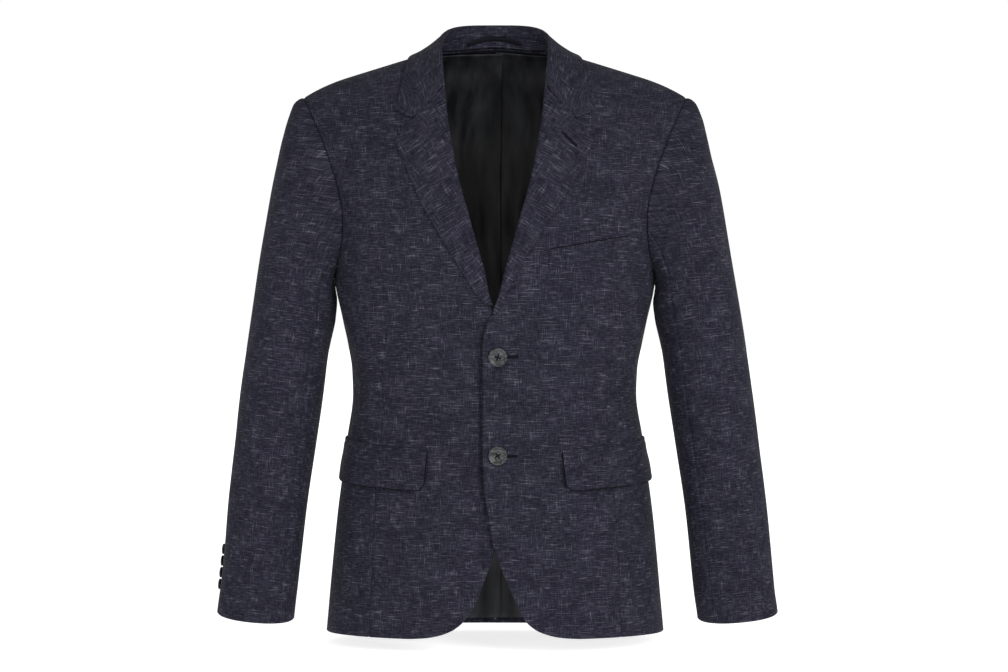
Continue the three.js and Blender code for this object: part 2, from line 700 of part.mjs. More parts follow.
function collarFall() {
  const grid = stations.map((at) => {
    const station = collarStation(at);
    const { u, side, edge, roll, surface } = station;
    const foot = standFoot(station);
    const inner = roll[0].clone().lerp(foot, overShare(roll[0], foot) * (1 - ease(COLLAR_END.overFades, 1, u)));
    const from = roll.at(-1);
    const corner = onFront(side, NOTCH.x + NOTCH.gap, NOTCH.z + NOTCH.gap);
    const kink = ease(COLLAR_END.kinkFrom, 1, u);
    const lying = COLLAR_COLUMNS.map((s) => {
      const straight = { x: mix(from.x, edge.x, s), y: mix(from.y, edge.y, s) };
      const before = Math.min(1, s / NOTCH_SHARE);
      const after = Math.max(0, (s - NOTCH_SHARE) / (1 - NOTCH_SHARE));
      const bent = {
        x: mix(mix(from.x, corner.p.x, before), edge.x, after),
        y: mix(mix(from.y, corner.p.y, before), edge.y, after),
      };
      return surface(mix(straight.x, bent.x, kink), mix(straight.y, bent.y, kink), COLLAR_LYING + CLOTH).p;
    });
    return [inner, ...roll, ...settle(from, lying, COLLAR_COLUMNS, collarTracks.relax(u))];
  });
  return skin(grid, CLOTH, -1, stations.length / 2 - 1);
}

function collarStand() {
  const used = stations.filter((at) => Math.abs(at) <= STAND_END);
  const grid = used.map((at) => {
    const station = collarStation(at);
    const foot = standFoot(station);
    const top = station.roll[0];
    const share = overShare(top, foot);
    const start = share + STAND_GAP / top.distanceTo(foot);
    return [0, 0.5, 1].map((s) => top.clone().lerp(foot, mix(start, 1, s)));
  });
  return skin(grid, CLOTH, 1, used.length / 2 - 1);
}

function hangerLoop() {
  const stand = collarStation(0);
  const wallY = stand.roll[0].y - LOOP.off;
  const grid = [0, 1].map((up) =>
    span(LOOP_STEPS).map((s) => {
      const across = 2 * s - 1;
      const arch = 1 - across * across;
      const curve = LOOP.curve * (across * LOOP.half) ** 2;
      const y = wallY - curve - LOOP.bow * arch;
      return new THREE.Vector3(across * LOOP.half, y, LOOP.z + LOOP.rise * arch + up * LOOP.tall);
    }),
  );
  return skin(grid, LOOP.thick, 1);
}

// Outline of the armhole. phi runs from the shoulder tip down the front and up the back
function armholePoint(side, phi) {
  const faceName = Math.sin(phi * DEG) >= 0 ? "front" : "back";
  const face = FACES[faceName];
  const top = ridgeZ(TIP_X);
  const z = mix(ARMPIT.z, top, (1 + Math.cos(phi * DEG)) / 2);
  const turn = z > face.apex ? face.armTurn : armTurn(faceName, z);
  const p = torsoPoint(turn, climbAt(turn, Math.min(z, top - MERGE)));
  return new THREE.Vector3(side * (p.x + ARM_GAP), p.y, p.z);
}

const sleeveTracks = Object.fromEntries(Object.keys(SLEEVE[0]).map((key) => [key, track(SLEEVE, "at", key)]));

function sleevePoint(side, at, phi) {
  const value = (key) => sleeveTracks[key](at);
  const cosine = Math.cos(phi * DEG);
  const sine = Math.sin(phi * DEG);
  const round = (v) => Math.sign(v) * Math.abs(v) ** SLEEVE_SHAPE.round;
  const share = (1 + round(cosine)) / 2;
  const { outer, inner } = SLEEVE_SHAPE.swing;
  const swing = side > 0 ? mix(inner, outer, share) * ease(0, SLEEVE_END, at) : 0;
  const ring = new THREE.Vector3(
    side * (mix(value("inX"), value("outX"), share) + swing),
    value("mid") - value("deep") * round(sine),
    mix(value("inZ"), value("outZ"), share) - SLEEVE_SHAPE.dip * sine * ease(SLEEVE_SHAPE.dipFrom, SLEEVE_END, at),
  );
  if (at >= CAP_END) return ring;
  const drift = (key) => value(key) - sleeveTracks[key](0);
  const capShare = (1 + cosine) / 2;
  const cap = armholePoint(side, phi);
  cap.x += side * mix(drift("inX"), drift("outX"), capShare);
  cap.z += mix(drift("inZ"), drift("outZ"), capShare);
  return cap.lerp(ring, ease(0, CAP_END, at));
}

// The sleeve's ring whose outer side is at a height
function sleeveRingAt(z) {
  let [above, under] = [0, SLEEVE_END];
  for (let i = 0; i < HALVINGS; i++) {
    const middle = (above + under) / 2;
    if (sleeveTracks.outZ(middle) > z) above = middle;
    else under = middle;
  }
  return above;
}

function sleeveSample(side, at, phi) {
  const [low, high] = [Math.max(0, at - SLEEVE_STEP.at), Math.min(SLEEVE_END, at + SLEEVE_STEP.at)];
  const [before, after] = [phi - SLEEVE_STEP.phi, phi + SLEEVE_STEP.phi];
  const round = sleevePoint(side, at, after).sub(sleevePoint(side, at, before));
  const down = sleevePoint(side, high, phi).sub(sleevePoint(side, low, phi));
  return { p: sleevePoint(side, at, phi), n: round.cross(down).normalize().multiplyScalar(side) };
}

const seamAt = { front: track(SLEEVE_SEAMS, "at", "front"), back: track(SLEEVE_SEAMS, "at", "back") };

function sleevePiece(side, isTop) {
  const columns = isTop ? TOP_COLUMNS : UNDER_COLUMNS;
  const grid = SLEEVE_ROWS.map((at) => {
    const gap = SLEEVE_SHAPE.seam / 2 / sleeveTracks.deep(at) / DEG;
    const [first, last] = isTop
      ? [seamAt.back(at) - 360 + gap, seamAt.front(at) - gap]
      : [seamAt.front(at) + gap, seamAt.back(at) - gap];
    return span(columns).map((s) => sleeveSample(side, at, mix(first, last, s)));
  });
  return wall(grid, CLOTH, turnedRows(side));
}

// A strip lying on one side of the torso; top and bottom are heights by the number of the turn
function strip(side, { turns, top, bottom, lift, thickness }) {
  const grid = STRIP_ROWS.map((t) =>
    turns.map((turn, i) => sample(side * turn, mix(bottom(i), top(i), t), lift)),
  );
  return wall(grid, thickness, turnedRows(side));
}

const flapTurn = (share) => mix(turnAt(flaps.front, flaps.topFront), flaps.lastTurn, share);
const flapTop = (share) => mix(flaps.topFront, flaps.topSide, share);

function pocketFlap(side) {
  const bottom = (i) => {
    const share = FLAP_SHARES[i];
    const fromEnd = Math.min(share, 1 - share) * flaps.length;
    const inside = Math.max(0, 1 - fromEnd / flaps.corner);
    const rounding = flaps.corner * (1 - Math.sqrt(1 - inside * inside));
    return flapTop(share) - mix(flaps.deepFront, flaps.deepSide, share) + rounding;
  };
  return strip(side, {
    turns: FLAP_SHARES.map(flapTurn),
    top: (i) => flapTop(FLAP_SHARES[i]),
    bottom,
    lift: LYING + TRIM + flaps.stand,
    thickness: TRIM,
  });
}

function pocketJet(side) {
  const shares = FLAP_SHARES.filter((_, i) => !FLAP_TIGHT.has(i));
  const bottom = (i) => flapTop(shares[i]) + SEAM;
  return strip(side, {
    turns: shares.map(flapTurn),
    top: (i) => bottom(i) + flaps.jet,
    bottom,
    lift: JET + LYING + flaps.jetStand,
    thickness: JET,
  });
}

function breastWelt() {
  const grid = [0, 1].map((t) =>
    span(BREAST.steps).map((s) => {
      const x = mix(BREAST.inX, BREAST.outX - BREAST.slant * (1 - t), s);
      const z = mix(BREAST.inZ, BREAST.outZ, s) - mix(BREAST.inDeep, BREAST.outDeep, s) * (1 - t);
      return onFront(1, x, z, LYING + TRIM);
    }),
  );
  return wall(grid, TRIM);
}

// A four-hole button with a raised rim, its back at the origin and its face along +Z
function buttonShape({ radius, thick, segments }) {
  const profile = BUTTON_PROFILE.map(({ out, up }) => new THREE.Vector2(radius * out, thick * up));
  const turned = new THREE.LatheGeometry(profile, segments).rotateX(Math.PI / 2);
  const bore = radius * BUTTON_HOLES.bore;
  const hole = new THREE.CylinderGeometry(bore, bore, thick * BUTTON_HOLES.tall, BUTTON_HOLES.sides);
  hole.rotateX(Math.PI / 2);
  const reach = radius * BUTTON_HOLES.reach;
  const holes = [1, -1].flatMap((x) => [1, -1].map((y) => hole.clone().translate(x * reach, y * reach, 0)));
  return cut(turned, holes);
}

function addButtons() {
  const front = buttonShape(BUTTONS);
  BUTTONS.z.forEach((z, i) => {
    const seat = onFront(1, BUTTONS.x, z, BUTTONS.off);
    add(["front_button_upper", "front_button_lower"][i], placed(front, seat), buttons);
  });
  const small = buttonShape(CUFF_BUTTONS);
  for (const [name, side] of [["left", 1], ["right", -1]]) {
    for (let i = 0; i < CUFF_BUTTONS.count; i++) {
      const at = sleeveRingAt(CUFF_BUTTONS.first + i * CUFF_BUTTONS.pitch);
      const seat = sleeveSample(side, at, -CUFF_BUTTONS.turn[name]);
      seat.p.addScaledVector(seat.n, CUFF_BUTTONS.off);
      add(`cuff_button_${name}_${i + 1}`, placed(small, seat), buttons);
    }
  }
}

// A copy of a shape that stands on a sample, its +Z along the normal
function placed(geometry, { p, n }) {
  const turn = new THREE.Quaternion().setFromUnitVectors(new THREE.Vector3(0, 0, 1), n);
  return geometry.clone().applyQuaternion(turn).translate(p.x, p.y, p.z);
}

// A geometry with the tools cut out of it
function cut(geometry, tools) {
  let result = body(geometry);
  for (const tool of tools) result = result.subtract(body(tool));
  const { numProp, vertProperties, triVerts } = result.getMesh();
  const positions = [];
  for (let i = 0; i < vertProperties.length; i += numProp) positions.push(...vertProperties.slice(i, i + 3));
  const made = solid(positions, Array.from(triVerts));
  made.computeVertexNormals();
  return made;
}

// A closed body of the cutting library from a geometry, without its doubled points and empty faces
function body(geometry) {
  const bare = new THREE.BufferGeometry();
  bare.setAttribute("position", geometry.getAttribute("position"));
  bare.setIndex(geometry.getIndex());
  const merged = mergeVertices(bare, MERGE);
  const index = Array.from(merged.getIndex().array);
  const whole = [];
  for (let i = 0; i < index.length; i += 3) {
    const [a, b, c] = index.slice(i, i + 3);
    if (a !== b && b !== c && a !== c) whole.push(a, b, c);
  }
  const shape = solid(Array.from(merged.getAttribute("position").array), whole);
  outward(shape);
  const mesh = new Manifold.Mesh({
    numProp: 3,
    vertProperties: shape.getAttribute("position").array,
    triVerts: Uint32Array.from(shape.getIndex().array),
  });
  return new Manifold.Manifold(mesh);
}

const bodyCloth = new THREE.MeshStandardMaterial({ color: 0x3a3a4b, roughness: 0.9 });
const lining = new THREE.MeshStandardMaterial({ color: 0x15161c, roughness: 0.5 });
const buttons = new THREE.MeshStandardMaterial({ color: 0x23242a, roughness: 0.4 });
const root = new THREE.Group();

function add(name, geometry, material = bodyCloth) {
  const mesh = new THREE.Mesh(geometry, material.clone());
  mesh.name = name;
  root.add(mesh);
  return mesh;
}

for (const [name, side] of [["left", 1], ["right", -1]]) {
  add(`front_${name}`, frontPanel(side));
  add(`side_${name}`, sidePanel(side));
  add(`back_${name}`, backPanel(side));
  add(`back_lining_${name}`, backLining(side), lining);
  add(`top_sleeve_${name}`, sleevePiece(side, true));
  add(`under_sleeve_${name}`, sleevePiece(side, false));
  add(`lapel_${name}`, lapel(side));
  add(`pocket_flap_${name}`, pocketFlap(side));
  add(`pocket_jet_${name}`, pocketJet(side));
}
add("breast_welt", breastWelt());
add("collar_fall", collarFall());
add("collar_stand", collarStand());
add("hanger_loop", hangerLoop(), lining);
addButtons();

export default root;
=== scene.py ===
import math

import bpy
import numpy as np
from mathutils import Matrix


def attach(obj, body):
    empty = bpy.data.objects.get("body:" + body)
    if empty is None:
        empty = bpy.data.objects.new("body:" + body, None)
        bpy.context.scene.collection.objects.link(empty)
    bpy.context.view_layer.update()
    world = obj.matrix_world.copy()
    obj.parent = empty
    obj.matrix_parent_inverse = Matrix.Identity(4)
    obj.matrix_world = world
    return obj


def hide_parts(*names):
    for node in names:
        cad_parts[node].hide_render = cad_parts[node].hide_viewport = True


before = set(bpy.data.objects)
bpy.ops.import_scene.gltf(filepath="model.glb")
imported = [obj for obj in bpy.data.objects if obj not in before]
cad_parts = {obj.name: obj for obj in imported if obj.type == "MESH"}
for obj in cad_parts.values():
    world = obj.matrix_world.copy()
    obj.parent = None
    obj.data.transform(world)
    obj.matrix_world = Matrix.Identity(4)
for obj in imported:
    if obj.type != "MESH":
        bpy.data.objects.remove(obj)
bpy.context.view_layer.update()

# Millimetres until the meshes are made. The front faces -Y and the wearer's left is +X
MM = 0.001
DEG = math.pi / 180
SIDES = (("left", 1), ("right", -1))
FINE = 1.0


def numbers(lines):
    return [[float(word) for word in line.split()] for line in lines.strip().splitlines()]


def table(text):
    """Columns by name, from a line of names and lines of numbers."""
    names, lines = text.strip().split("\n", 1)
    return dict(zip(names.split(), np.array(numbers(lines)).T))


def track(rows, key, column):
    """A smooth curve through one column of a table that never overshoots its points."""
    at, value = rows[key], rows[column]
    width = np.diff(at)
    chord = np.diff(value) / width
    before, after = np.append(chord[:1], chord), np.append(chord, chord[-1:])
    total = np.where(before + after == 0, 1, before + after)
    slope = np.where(before * after > 0, 2 * before * after / total, 0)

    def curve(where):
        x = np.clip(where, at[0], at[-1])
        i = np.clip(np.searchsorted(at, x) - 1, 0, len(at) - 2)
        s = (x - at[i]) / width[i]
        ends = value[i] * (1 + 2 * s) * (1 - s) ** 2 + value[i + 1] * s * s * (3 - 2 * s)
        return ends + width[i] * s * (1 - s) * (slope[i] * (1 - s) - slope[i + 1] * s)

    return curve


def mix(a, b, s):
    return a + (b - a) * s


def ease(low, high, x):
    t = np.clip((x - low) / (high - low), 0, 1)
    return t * t * (3 - 2 * t)


def unit(v):
    return v / np.maximum(np.linalg.norm(v, axis=-1, keepdims=True), 1e-12)


def length(v):
    return np.linalg.norm(v, axis=-1)


def vec(*parts):
    return np.stack(np.broadcast_arrays(*parts), axis=-1).astype(float)


def halve(low, high, is_low, steps=27):
    """Where is_low stops being true between two ends, for whole arrays at once."""
    for _ in range(steps):
        middle = (low + high) / 2
        keep = is_low(middle)
        low, high = np.where(keep, middle, low), np.where(keep, high, middle)
    return low


def refine(knots, step, least=1):
    """The knots with more values between them, no further apart than a step."""
    out = [knots[0]]
    for a, b in zip(knots, knots[1:]):
        n = max(least, math.ceil(abs(b - a) / (step * FINE)))
        out += [a + (b - a) * i / n for i in range(1, n + 1)]
    return np.array(out, float)


def edged(count, typical):
    """Shares across a piece of a typical width, with a few close to both ends where its seams dip."""
    close = [d / typical for d in (0.8, 1.8, 3.4)]
    middle = np.linspace(close[-1], 1 - close[-1], max(2, round(count / FINE)))
    return np.array([0, *close[:-1], *middle, *[1 - c for c in close[-2::-1]], 1])


# The jacket's form, with the sizes of the part's source
CLOTH, TRIM, JET, LINING, SEAM_EDGE = 2.0, 1.6, 1.1, 1.0, 0.8  # thicknesses
SEAM = 0.08  # a sewn seam is closed here, and dips instead
LYING = 0.8  # how far what lies on a piece stands off it
NORMAL_STEP = 0.05

TORSO = table(
    """
z half front back
-692 203 122 119
-631 197.5 126 119
-573 191.5 127 113
-516 185.4 125 102
-458 178 119 90
-400 170.4 113 84
-372 171.4 112.5 85
-343 176.4 114 89
-314 182.6 118 96
-262 192 124 107
-190 194 128 116
-150 194 128 118
"""
)
SQUARENESS = 2.35
half_width = track(TORSO, "z", "half")
depth_front, depth_back = track(TORSO, "z", "front"), track(TORSO, "z", "back")
TIP_X, RIDGE_Y = 229.5, 6
CLIMB = 270
APEX = {"front": -190.0, "back": -150.0}
ARM_TURN = {"front": 71.8, "back": 109.0}
LEAN = {"front": 1.5, "back": 1.3}


def ridge_z(x):
    return 34.3 - 0.316 * np.hypot(x, 30) - 10 * (np.maximum(0, x - 175) / 62) ** 2.2


def ring(turn, z):
    """The torso's ring at a height: x, y and radius. turn is 0 at the front and 180 at the back."""
    reach = np.where(turn <= 90, depth_front(z), depth_back(z))
    sine, cosine = np.sin(turn * DEG), np.cos(turn * DEG)
    sums = (np.abs(cosine) / reach) ** SQUARENESS + (np.abs(sine) / half_width(z)) ** SQUARENESS
    radius = sums ** (-1 / SQUARENESS)
    return radius * sine, -radius * cosine, radius


FLARE = {face: TIP_X / ring(np.float64(ARM_TURN[face]), APEX[face])[0] for face in APEX}


def by_face(turn, values):
    return np.where(np.abs(turn) <= 90, values["front"], values["back"])


def torso(turn, climb):
    """A point of the torso. Up to a face's fullest level, climb is the height."""
    turn, climb = np.broadcast_arrays(np.asarray(turn, float), np.asarray(climb, float))
    around, apex = np.abs(turn), by_face(turn, APEX)
    x, y, _ = ring(around, np.minimum(climb, apex))
    angle = np.maximum(climb - apex, 0) / CLIMB * math.pi / 2
    ridge_x = x * by_face(turn, FLARE)
    out = mix(x, ridge_x, np.sin(angle) ** by_face(turn, LEAN))
    z = np.where(climb <= apex, climb, mix(apex, ridge_z(ridge_x), np.sin(angle)))
    return vec(np.where(turn < 0, -1, 1) * out, np.where(climb <= apex, y, mix(RIDGE_Y, y, np.cos(angle))), z)


def sample(turn, climb, lift=0.0):
    """Point and outward normal, lifted off the torso."""
    step = NORMAL_STEP
    across = torso(turn + step, climb) - torso(turn - step, climb)
    up = torso(turn, climb + step) - torso(turn, climb - step)
    n = unit(np.cross(across, up))
    return torso(turn, climb) + n * np.asarray(lift, float)[..., None], n


def shoulder_knots(face):
    """Climbs from a face's fullest level up to the ridge."""
    return [APEX[face] + CLIMB / 90 * angle for angle in (0, 14, 28, 42, 55, 67, 79, 90)]


def climb_at(turn, z):
    apex = by_face(turn, APEX)
    top = ridge_z(ring(np.abs(turn), apex)[0] * by_face(turn, FLARE))
    share = np.clip((z - apex) / (top - apex), 0, 1)
    return np.where(z <= apex, z, apex + np.arcsin(share) / DEG / 90 * CLIMB)


def climb_top(turn):
    apex = by_face(turn, APEX)
    reach = np.abs(ring(np.abs(turn), apex)[1] - RIDGE_Y)
    return apex + (1 - np.arcsin(SEAM / 2 / reach) / DEG / 90) * CLIMB


def turn_at(x, z):
    wide = np.abs(x)
    found = halve(wide * 0.0, wide * 0.0 + 90, lambda m: torso(m, climb_at(m, z))[..., 0] < wide)
    return np.where(x < 0, -1, 1) * found


OVERLAP = {"lift": 2.7, "flat": 26, "faded": 84, "low": -300, "high": -225}


def overlap_lift(side, x, z):
    if side < 0:
        return 0.0 * x
    across = 1 - ease(OVERLAP["flat"], OVERLAP["faded"], x)
    return OVERLAP["lift"] * across * (1 - ease(OVERLAP["low"], OVERLAP["high"], z))


def on_front(side, x, z, lift=0.0):
    turn = turn_at(side * x, z)
    return sample(turn, climb_at(turn, z), lift + overlap_lift(side, x, z))


ARMPIT_Z, JOIN_Z = -262.0, -248.0
RISE = {"front": 62.0, "back": 78.0}


def arm_turn(face, z):
    share = np.clip((z - ARMPIT_Z) / RISE[face], 0, 1)
    return 90 + (ARM_TURN[face] - 90) * np.sqrt(1 - (1 - share) ** 2)


def arm_z(turn):
    reach = np.where(turn <= 90, ARM_TURN["front"], ARM_TURN["back"]) - 90
    share = np.clip((turn - 90) / reach, -1, 1)
    return ARMPIT_Z + by_face(turn, RISE) * (1 - np.sqrt(1 - share * share))


SIDE_SEAMS = {
    "z": np.array([-692.0, -520, -400, -300, JOIN_Z]),
    "front": np.array([58, 57, 58.5, 67, arm_turn("front", JOIN_Z)]),
    "back": np.array([124, 125, 124, 113, arm_turn("back", JOIN_Z)]),
}
front_seam, back_seam = track(SIDE_SEAMS, "z", "front"), track(SIDE_SEAMS, "z", "back")
FRONT_EDGE = table(
    """
z left right
-682 100 100
-681 85 85
-679 71 71
-675.5 59 59
-670 47.5 47.5
-660 36.5 36
-640 26 23.5
-611 13.5 12
-580 1.5 1
-545 -5.5 -7
-500 -12 -15
-450 -13.4 -19
-345 -13.4 -19
-320 -10 -12
-302 -3 -2
-286 3.5 5
-254 11.5 11.5
-226 19.5 19.5
-190 29.5 29.5
-149 41 41
-120 47 47
-75 54.5 54.5
-40 58 58
-12 63 63
6 69 69
60 73 73
"""
)
edge_tracks = {1: track(FRONT_EDGE, "z", "left"), -1: track(FRONT_EDGE, "z", "right")}
GORGE_Z, ROLL_BACK, HEM_Z, CLOSED_EDGE = -40, 4.6, -682, -13.4
LOW_KNOTS = [-682, -681, -679, -675.5, -670, -660, -640, -611, -580, -545, -500, -450, -400, -345, -320, -309, -303]
LOW_KNOTS += [-286, -268, -248]


def turn_of(size, turn, z):
    return size / ring(np.float64(turn), z)[2] / DEG


def sag(turn, z):
    return -8 * ease(60, 150, np.abs(turn)) * (1 - ease(HEM_Z, -450, z))


# Folds of a piece in its own plane of two sizes in millimetres. A negative depth is a trough.
# rows: from a, from b, to a, to b, bow, width, depth
def folds(a, b, rows, seed):
    """How far the cloth moves out, from listed folds whose ends fade and whose depth is uneven."""
    out = np.zeros(np.broadcast(a, b).shape)
    for k, (a0, b0, a1, b1, bow, width, depth) in enumerate(rows):
        run = math.hypot(a1 - a0, b1 - b0)
        ua, ub = (a1 - a0) / run, (b1 - b0) / run
        t = ((a - a0) * ua + (b - b0) * ub) / run
        off = -(a - a0) * ub + (b - b0) * ua - bow * 4 * t * (1 - t)
        fade = ease(-0.12, 0.3, t) * (1 - ease(0.6, 1.12, t))
        uneven = 1 + 0.3 * np.sin(5.3 * t + seed + k) + 0.15 * np.sin(11.7 * t + 2.1 * k)
        d = off / (width * (1 + 0.35 * np.sin(3.1 * t + 1.3 * k + seed)))
        profile = np.exp(-d * d) - 0.42 * np.exp(-((d - 1.9) ** 2)) - 0.3 * np.exp(-((d + 2.1) ** 2))
        out += depth * fade * uneven * profile
    return out


def waves(a, b, seed, size, depth):
    """Very soft unevenness of worn cloth."""
    rng = np.random.default_rng(seed)
    out = np.zeros(np.broadcast(a, b).shape)
    for _ in range(7):
        angle, phase = rng.uniform(0, 2 * math.pi, 2)
        pitch = size * rng.uniform(0.7, 1.6)
        out += np.sin((a * math.cos(angle) + b * math.sin(angle)) * 2 * math.pi / pitch + phase)
    return depth * out / 7


# Folds of the torso: around it, in TORSO_ARC a degree of turn, and up it. The front reaches to 279
TORSO_ARC, FRONT_REACH = 3.1, 279
TORSO_FOLDS = numbers(
    """
-20 -352 110 -320 9 13 -1.1
-10 -372 105 -384 -8 15 0.9
175 -232 150 -130 8 12 -1.7
200 -262 165 -330 -12 14 -1.5
232 -255 222 -352 8 12 1.6
255 -300 262 -520 -9 22 -1.6
205 -385 250 -408 6 15 -1.5
200 -420 262 -432 -6 16 1.1
95 -560 120 -660 7 24 1.2
60 -520 72 -640 -6 20 -0.9
170 -540 178 -680 6 26 -1.3
150 -40 120 -120 -6 14 -0.9
315 -300 300 -470 10 20 1.8
340 -262 352 -360 -9 14 -2.0
352 -150 366 -262 8 16 -1.9
380 -120 392 -255 -7 17 1.3
420 -380 540 -372 -8 16 -1.7
410 -412 520 -424 7 17 1.3
430 -470 445 -660 -10 28 1.6
385 -480 372 -670 9 24 -1.8
510 -500 520 -650 6 28 -1.2
430 0 540 -22 -7 12 -1.2
395 -75 420 -190 6 19 -1.0
"""
)


def torso_folds(side, turn, climb):
    a, b = np.abs(turn) * TORSO_ARC, climb
    calm = ease(14, 60, a) if side > 0 else ease(0, 50, a)
    move = folds(a, b, TORSO_FOLDS, 0.4 if side > 0 else 2.3) + waves(a, b, 5 + side, 130, 1.1)
    armhole = np.where(a < FRONT_REACH, arm_turn("front", b), arm_turn("back", b)) * TORSO_ARC
    near_arm = 1 - (1 - ease(0, 24, np.abs(a - armhole))) * ease(ARMPIT_Z - 45, ARMPIT_Z, b)
    return move * near_arm * np.maximum(calm, ease(-330, -300, b) * 0.6)


def run_lengths(p, axis):
    steps = length(np.diff(p, axis=axis))
    zero = np.zeros_like(np.take(steps, [0], axis=axis))
    return np.concatenate([zero, np.cumsum(steps, axis=axis)], axis=axis)


def dips(p, n, edges, depth=0.9, width=1.7):
    """The grid with its seamed edges drawn in. edges names them: first or last column, bottom or top row."""
    across, up = run_lengths(p, 1), run_lengths(p, 0)
    from_edge = {"first": across, "last": across[:, -1:] - across, "bottom": up, "top": up[-1:] - up}
    drop = sum(np.exp(-((from_edge[e] / width) ** 2)) for e in edges) + 0 * across
    return p - n * (depth * np.minimum(drop, 1.15))[..., None]


made, MATERIALS, SURFACES = {}, {}, {}


def link(obj):
    bpy.context.scene.collection.objects.link(obj)
    return obj


def grid_mesh(
    name, p, n, thickness, uv, soft_edges=(), lined=None, material="suit_cloth", lip=0.45, painted_shade_rim=False, replaced=True
):
    """Closed thin shell on a grid of outer points.

    soft_edges bulge by a share of the thickness, lip, as turned cloth does. lined marks the points whose
    inner face is lining. The rim flag paints all rim faces near black, a painted shade along lifted edges, when lined
    is given.
    """
    rows, columns = p.shape[:2]
    behind = rows * columns
    at = np.arange(behind).reshape(rows, columns)
    flat_p, flat_n, flat_uv = p.reshape(-1, 3), n.reshape(-1, 3), uv.reshape(-1, 2)
    inner = flat_p - flat_n * thickness
    a, b, c, d = at[:-1, :-1].ravel(), at[:-1, 1:].ravel(), at[1:, 1:].ravel(), at[1:, :-1].ravel()
    outer_faces = np.stack([a, b, c, d], 1)
    inner_faces = np.stack([a, d, c, b], 1) + behind
    ring_at = np.concatenate([at[0, :-1], at[:-1, -1], at[-1, :0:-1], at[:0:-1, 0]])
    names = np.repeat(["bottom", "last", "top", "first"], [columns - 1, rows - 1, columns - 1, rows - 1])
    following, before = np.roll(ring_at, -1), np.roll(ring_at, 1)
    away = unit(np.cross(unit(flat_p[following] - flat_p[before]), flat_n[ring_at]))
    centre = columns // 2
    if np.dot(away[centre], p[1, centre] - p[0, centre]) > 0:
        away = -away
    bulge = np.isin(names, soft_edges) * lip * thickness
    mid = (flat_p[ring_at] + inner[ring_at]) / 2 + away * bulge[:, None]
    middle_at = 2 * behind + np.arange(len(ring_at))
    next_at = np.roll(middle_at, -1)
    outer_rim = np.stack([following, ring_at, middle_at, next_at], 1)
    inner_rim = np.stack([next_at, middle_at, ring_at + behind, following + behind], 1)
    points = np.concatenate([flat_p, inner, mid]) * MM
    faces = np.concatenate([outer_faces, inner_faces, outer_rim, inner_rim])
    mesh = bpy.data.meshes.new(name + "_cloth")
    mesh.from_pydata(points.tolist(), [], faces.tolist())
    point_uv = np.concatenate([flat_uv, flat_uv, flat_uv[ring_at]]) * MM
    layer = mesh.uv_layers.new(name="cloth")
    loops = np.empty(len(mesh.loops), dtype=np.int32)
    mesh.loops.foreach_get("vertex_index", loops)
    layer.data.foreach_set("uv", point_uv[loops].ravel())
    mesh.polygons.foreach_set("use_smooth", np.ones(len(mesh.polygons), dtype=bool))
    mesh.materials.append(MATERIALS[material])
    if lined is not None:
        mesh.materials.append(MATERIALS["lining_satin"])
        index = np.zeros(len(faces), dtype=np.int32)
        start, end = len(outer_faces), 2 * len(outer_faces)
        index[start:end] = lined.reshape(-1)[inner_faces[:, 0] - behind]
        # painted shade: every rim face gets the near-black colour that stands for the shadow along the lifted edge
        if painted_shade_rim:
            mesh.materials.append(MATERIALS["slit_dark"])
            index[end:] = 2
        mesh.polygons.foreach_set("material_index", index)
    mesh.update()
    a, b, c, d = (points[faces[:, i]] for i in range(4))
    if (np.cross(a, b) * c).sum() + (np.cross(a, c) * d).sum() < 0:  # the volume inside
        mesh.flip_normals()
    obj = link(bpy.data.objects.new(name + "_cloth", mesh))
    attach(obj, "root")
    if replaced:
        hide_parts(name)
    made[name] = obj
    return obj


def torso_uv(side, p, climb, turn):
    """Weft runs level round the body, warp up it and over the shoulder."""
    apex = by_face(turn, APEX)
    y_reach = np.abs(ring(np.abs(turn), apex)[1] - RIDGE_Y)
    rise = torso(turn, apex + CLIMB)[..., 2] - apex
    angle = np.maximum(climb - apex, 0) / CLIMB * math.pi / 2
    along = np.zeros(np.broadcast(angle, rise).shape)
    for k in range(12):
        part = angle * (k + 0.5) / 12
        along += np.hypot(y_reach * np.sin(part), rise * np.cos(part)) * angle / 12
    v = np.minimum(climb, apex) + along
    u = run_lengths(p, 1) + side * p[:, :1, 0]
    return vec(side * u, v)


# Inside, the facing of a front reaches to here below and above, and the turned-up hem to here over the edge
FACING_X, TURN_UP = (88, 118), {"front": 26, "side": 24}


def torso_piece(
    name, side, turn, climb, lift, dipped=(), soft_edges=(), shift=(0.0, 0.0), thickness=CLOTH, dip=(), **more
):
    """A piece of cloth on the torso or off it by a lift, with its seamed edges drawn in."""
    p, n = sample(side * turn, climb, lift)
    uv = torso_uv(side, p, climb, side * turn) + np.array(shift)
    p = dips(p, n, dipped, *dip)
    grid_mesh(name, p, n, thickness, uv, soft_edges, **more)
    return p, n


